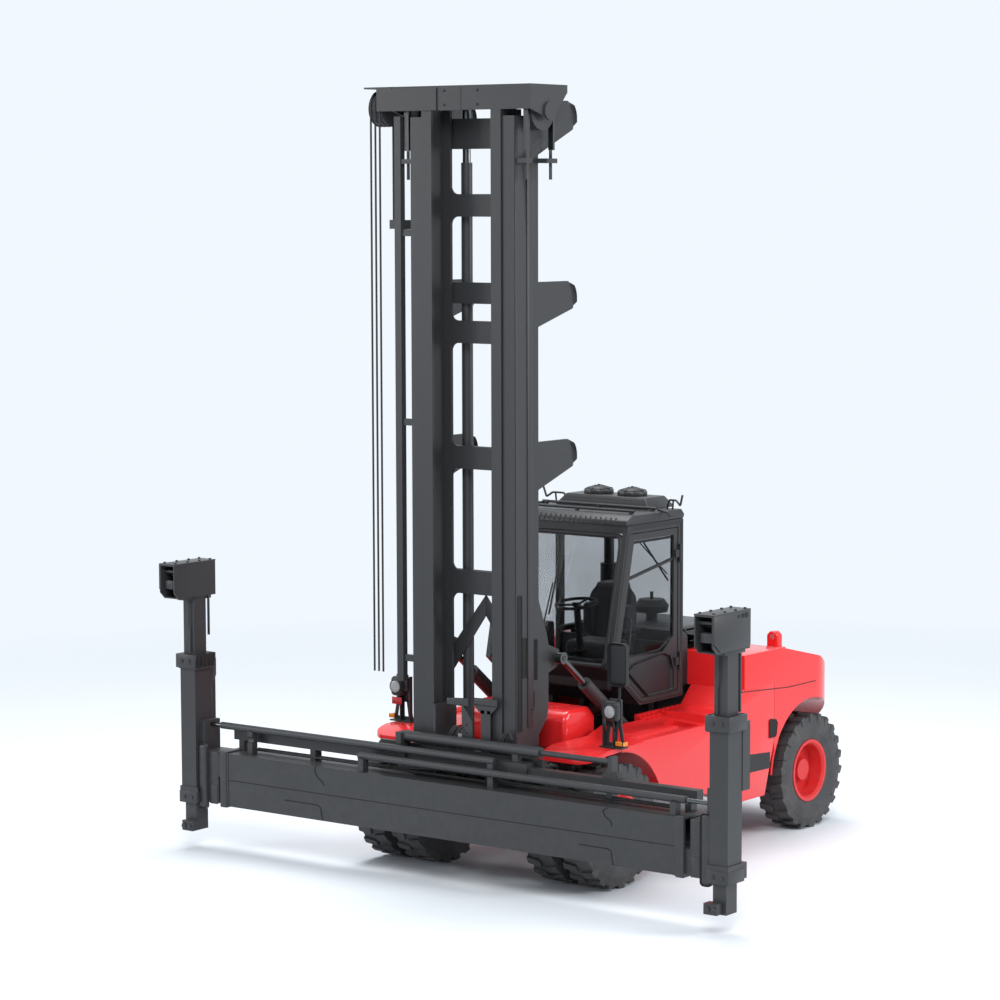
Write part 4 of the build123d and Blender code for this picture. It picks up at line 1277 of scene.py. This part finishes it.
def makeCarriageTrim():
    y = carriage["y"]
    stem = addPlate("y", y, carriage["stem"])
    neck = addPlate("y", y, carriage["neck"])
    top = addPlate("y", y, carriage["top"], corner=14)
    arm = addPlate("y", y, carriage["arm"], corner=10)
    post = addPlate("y", y, carriage["post"])
    near, far = carriage["holeY"]
    for plate, x in ((stem, carriage["stemHoles"]), (post, carriage["postHoles"])):
        combine(plate, [addRod((x, near, z), (x, far, z), 9, 12) for z in carriage["holeZ"]])
    wide, deep, high = carriage["valve"]
    valves = [addBlock((x, x + wide), deep, high, soft=6) for x in carriage["valves"]]
    finishPiece("carriagePlates", [stem, neck, top, arm, post] + valves, "carriage", "spreader_paint")
    pipes = [addBar([(x + a, b, c) for a, b, c in carriage["hose"]], 9, 40) for x in carriage["hoses"]]
    finishPiece("carriageHoses", pipes, "carriage", "hose_rubber")


makeCarriageTrim()
print("carriage done")


# beam: collars, joint and fold lines in painted shade, and pipes

beam = {
    "front": -931,
    "collar": ((2480, 2560), (-944, -638), (426, 944)),
    "opening": ((2400, 2700), (-914, -666), (456, 914)),
    "rim": ((2462, 2482), (-936, -924), (436, 934)),
    "joints": (  # x and z of each line
        [(-1415, 926), (-1426, 880), (-1390, 830), (-1330, 790), (-1321, 765)],
        [(-1786, 579), (-1400, 578), (-1362, 560), (-1350, 500), (-1336, 443)],
        [(1795, 926), (1740, 901), (1760, 850), (1822, 815), (1832, 775)],
        [(1500, 579), (1790, 578), (1826, 560), (1834, 500), (1846, 443)],
    ),
    "fold": (2460, 684),
    "hoses": (([(-2300, -700, 960), (-600, -700, 965), (-200, -690, 1000), (300, -690, 1000),
                (600, -700, 965), (2300, -700, 960)], 14, 90),
              ([(-2300, -735, 958), (2300, -735, 958)], 10, 20)),
}


def makeBeamTrim():
    y = beam["front"]
    collar = addBlock(*beam["collar"], soft=8, steps=3)
    combine(collar, [addBlock(*beam["opening"])])
    rim = addBlock(*beam["rim"], soft=4)
    finishPiece("beamCollars", bothSides([collar, rim]), "spreader", "spreader_paint")
    # the joint lines and the fold line are near-black bars: painted shade between the beam's parts and in the
    # fold
    lines = [addBar([(x, y, z) for x, z in points], 5, 40, 1) for points in beam["joints"]]
    x, z = beam["fold"]
    lines.append(addBar([(-x, y + 1, z), (x, y + 1, z)], 4, 5, 1))
    finishPiece("beamJointShade", lines, "spreader", "spreader_paint", material=lenses["gap"])
    finishPiece("beamPipes", [addBar(*hose) for hose in beam["hoses"]], "spreader", "hose_rubber")


makeBeamTrim()
print("beam done")


# legs: end boxes, flanges, collars and rear covers

leg = {
    "x": (2830, 3010),
    "y": (-967, -757),
    "endBox": ((2604, 2822), (-912, -668), (446, 926)),
    "access": ((2614, 2708), (-918, -908), (440, 614)),
    "band": ((2604, 2822), (-915, -908), (676, 692)),
    "flange": [(2722, 385), (2722, 993), (2836, 993), (2836, 385)],
    "flangeY": (-944, -912),
    "collars": (((1690, 1818), 30), ((430, 540), 18)),  # z, and how far out
    "boltInset": 45,
    "cover": [(-757, 1544), (-757, 1785), (-680, 1785), (-662, 1750), (-662, 1600), (-690, 1544)],
    "rearPlate": ((-757, -738), (700, 1544)),
}


def makeLegCollar(z, out):
    (low, high), (front, rear) = leg["x"], leg["y"]
    ring = addBlock((low - out, high + out), (front - out, rear + out), z, soft=5)
    combine(ring, [addBlock((low - 1, high + 1), (front - 1, rear + 1), (z[0] - 20, z[1] + 20))])
    pieces = [ring]
    face, middle = front - out, sum(z) / 2
    for x in (low + leg["boltInset"], high - leg["boltInset"]):
        pieces.append(addRod((x, face - 9, middle), (x, face + 2, middle), 17, 6))
        pieces.append(addRod((x, face - 3, middle), (x, face + 2, middle), 24, 20))
    return pieces


def makeLegTrim():
    low, high = leg["x"]
    pieces = [addBlock(*leg["endBox"], soft=8, steps=3), addBlock(*leg["access"], soft=4),
              addBlock(*leg["band"], soft=2), addPlate("y", leg["flangeY"], leg["flange"], corner=36, soft=5),
              addPlate("x", (low + 12, high - 12), leg["cover"], soft=6),
              addBlock((low - 4, high - 10), *leg["rearPlate"], soft=4)]
    for z, out in leg["collars"]:
        pieces += makeLegCollar(z, out)
    twins = [mirrorCopy(p) for p in pieces]
    finishPiece("legTrimLeft", pieces, "beam_left", "spreader_paint")
    finishPiece("legTrimRight", twins, "beam_right", "spreader_paint")


makeLegTrim()
print("legs done")


# lifting heads: side plates, inner parts, bolts, and holes in painted shade

head = {
    "side": [(-1110, 2362), (-1215, 2440), (-1215, 2664), (-668, 2672), (-668, 2381), (-690, 2362)],
    "sideX": (3021, 3029),
    "guides": (((2842, 2862), (-757, -742), (1980, 2345), 2), ((2960, 2990), (-760, -742), (1830, 2345), 2),
               ((2834, 3026), (-1218, -662), (2664, 2676), 3),
               ((2860, 3000), (-1010, -700), (2318, 2352), 5)),
    "pins": ((-1150, 2600), (-1120, 2480), (-1060, 2560)),  # y and z
    "pinX": (2850, 3010),
    "lock": ((2870, 2990), (-1180, -1120), (2440, 2520)),
    "bolts": ((2862, 2998), (-1170, -1010, -850, -710)),  # x and y
    "boltZ": (2674, 2688),
    "pipe": [(2905, -962, 2330), (2905, -962, 2100), (2895, -955, 2040), (2895, -955, 1830)],
    "holes": ((-790, 20), (-735, 24), (-850, 14)),  # y and radius
    "holeX": (3026, 3031),
    "holeZ": 2630,
}


def makeHeads():
    pieces = [addPlate("x", head["sideX"], head["side"], soft=3)]
    pieces += [addBlock(x, y, z, soft=edge) for x, y, z, edge in head["guides"]]
    near, far = head["pinX"]
    pieces += [addRod((near, y, z), (far, y, z), 16, 14) for y, z in head["pins"]]
    pieces.append(addBlock(*head["lock"], soft=8))
    across, along = head["bolts"]
    low, high = head["boltZ"]
    pieces += [addRod((x, y, low), (x, y, high), 12, 6) for x in across for y in along]
    pieces.append(addBar(head["pipe"], 9, 40))
    # near-black discs on the side plate: painted shade inside its holes
    near, far = head["holeX"]
    z = head["holeZ"]
    holes = [addRod((near, y, z), (far, y, z), radius, 24) for y, radius in head["holes"]]
    twins = [mirrorCopy(p) for p in pieces]
    twinHoles = [mirrorCopy(p) for p in holes]
    for name, parts, gaps in (("Left", pieces, holes), ("Right", twins, twinHoles)):
        body = f"head_{name.lower()}"
        finishPiece(f"headTrim{name}", parts, body, "spreader_paint")
        finishPiece(f"headHoleShade{name}", gaps, body, "spreader_paint", material=lenses["gap"])


makeHeads()
print("heads done")


# lamp brackets with lamps and reflectors

lamp = {
    "bracket": [(1066, 1234), (1104, 1430), (1256, 1430), (1290, 1234)],
    "bracketY": (34, 46),
    "cutouts": ([(1120, 1275), (1140, 1410), (1172, 1410), (1172, 1275)],
                [(1196, 1275), (1196, 1410), (1228, 1410), (1250, 1275)]),
    "foot": ((1066, 1300), (-20, 80), (1231, 1243)),
    "back": ((1128, 1256), (28, 52), (1425, 1660)),
    "shade": ((1132, 1262), (-60, 30), (1470, 1650)),
    "shadeCorner": 34,
    "stalk": [(1196, -10, 1470), (1196, 10, 1400), (1196, 34, 1380)],
    "lens": (1197, 1560, 56),  # x, z and radius
    "lensY": (-66, -58),
    "amber": (((1236, 1300), (-30, -22), (1262, 1300)), ((1300, 1306), (-10, 60), (1256, 1292))),
    "red": ((-1262, -1150), (-30, -22), (1392, 1458)),
}


def makeLamps():
    plate = addPlate("y", lamp["bracketY"], lamp["bracket"])
    foot = addBlock(*lamp["foot"], soft=3)
    back = addBlock(*lamp["back"], soft=4)
    combine(plate, [addPlate("y", (0, 90), outline, corner=8) for outline in lamp["cutouts"]])
    shade = addBlock(*lamp["shade"])
    corners = [(x, z) for x in lamp["shade"][0] for z in lamp["shade"][2]]
    roundAlong(shade, "y", corners, lamp["shadeCorner"])
    stalk = addBar(lamp["stalk"], 12, 20)
    x, z, radius = lamp["lens"]
    near, far = lamp["lensY"]
    lens = addRod((x, near, z), (x, far, z), radius, 32, 3)
    ring = addRing((x, (near + far) / 2, z), (0, -1, 0), radius + 2, 6, 32)
    finishPiece("lampBrackets", bothSides([plate, foot, back, shade, stalk, ring]), "root", "frame_paint")
    finishPiece("lampLenses", bothSides([lens]), "root", "cab_glass", material=lenses["clear"])
    amber = [addBlock(*block, soft=2) for block in lamp["amber"]]
    finishPiece("amberReflectors", bothSides(amber), "root", "cab_glass", material=lenses["amber"])
    red = addBlock(*lamp["red"], soft=2)
    finishPiece("redReflector", [red], "root", "cab_glass", material=lenses["red"])


# mirror on its post

mirror = {
    "x": (1146, 1346),
    "y": (-22, 12),
    "z": (1780, 2160),
    "corner": 46,
    "post": [(1207, 20, 1243), (1240, 26, 1700), (1246, 20, 2120)],
    "arms": (1850, 2090),
    "armX": 1246,
    "armY": (20, 4),
    "border": 14,
    "glassY": (11, 14),
}


def makeMirror():
    low, high = mirror["x"]
    bottom, top = mirror["z"]
    border = mirror["border"]
    corners = [(a, b) for a in (low, high) for b in (bottom, top)]
    shell = addBlock(mirror["x"], mirror["y"], mirror["z"])
    roundAlong(shell, "y", corners, mirror["corner"], steps=8)
    soften(shell, 10, 3, 40)
    post = addBar(mirror["post"], 12, 60)
    x = mirror["armX"]
    arms = [addBar([(x, y, z) for y in mirror["armY"]], 9, 5) for z in mirror["arms"]]
    finishPiece("sideMirror", [shell, post] + arms, "root", "mirror_shell", ["mirror"])
    glass = addBlock((low + border, high - border), mirror["glassY"], (bottom + border, top - border))
    finishPiece("mirrorGlass", [glass], "root", "chrome_rod")


makeLamps()
makeMirror()
print("lamps and mirror done")
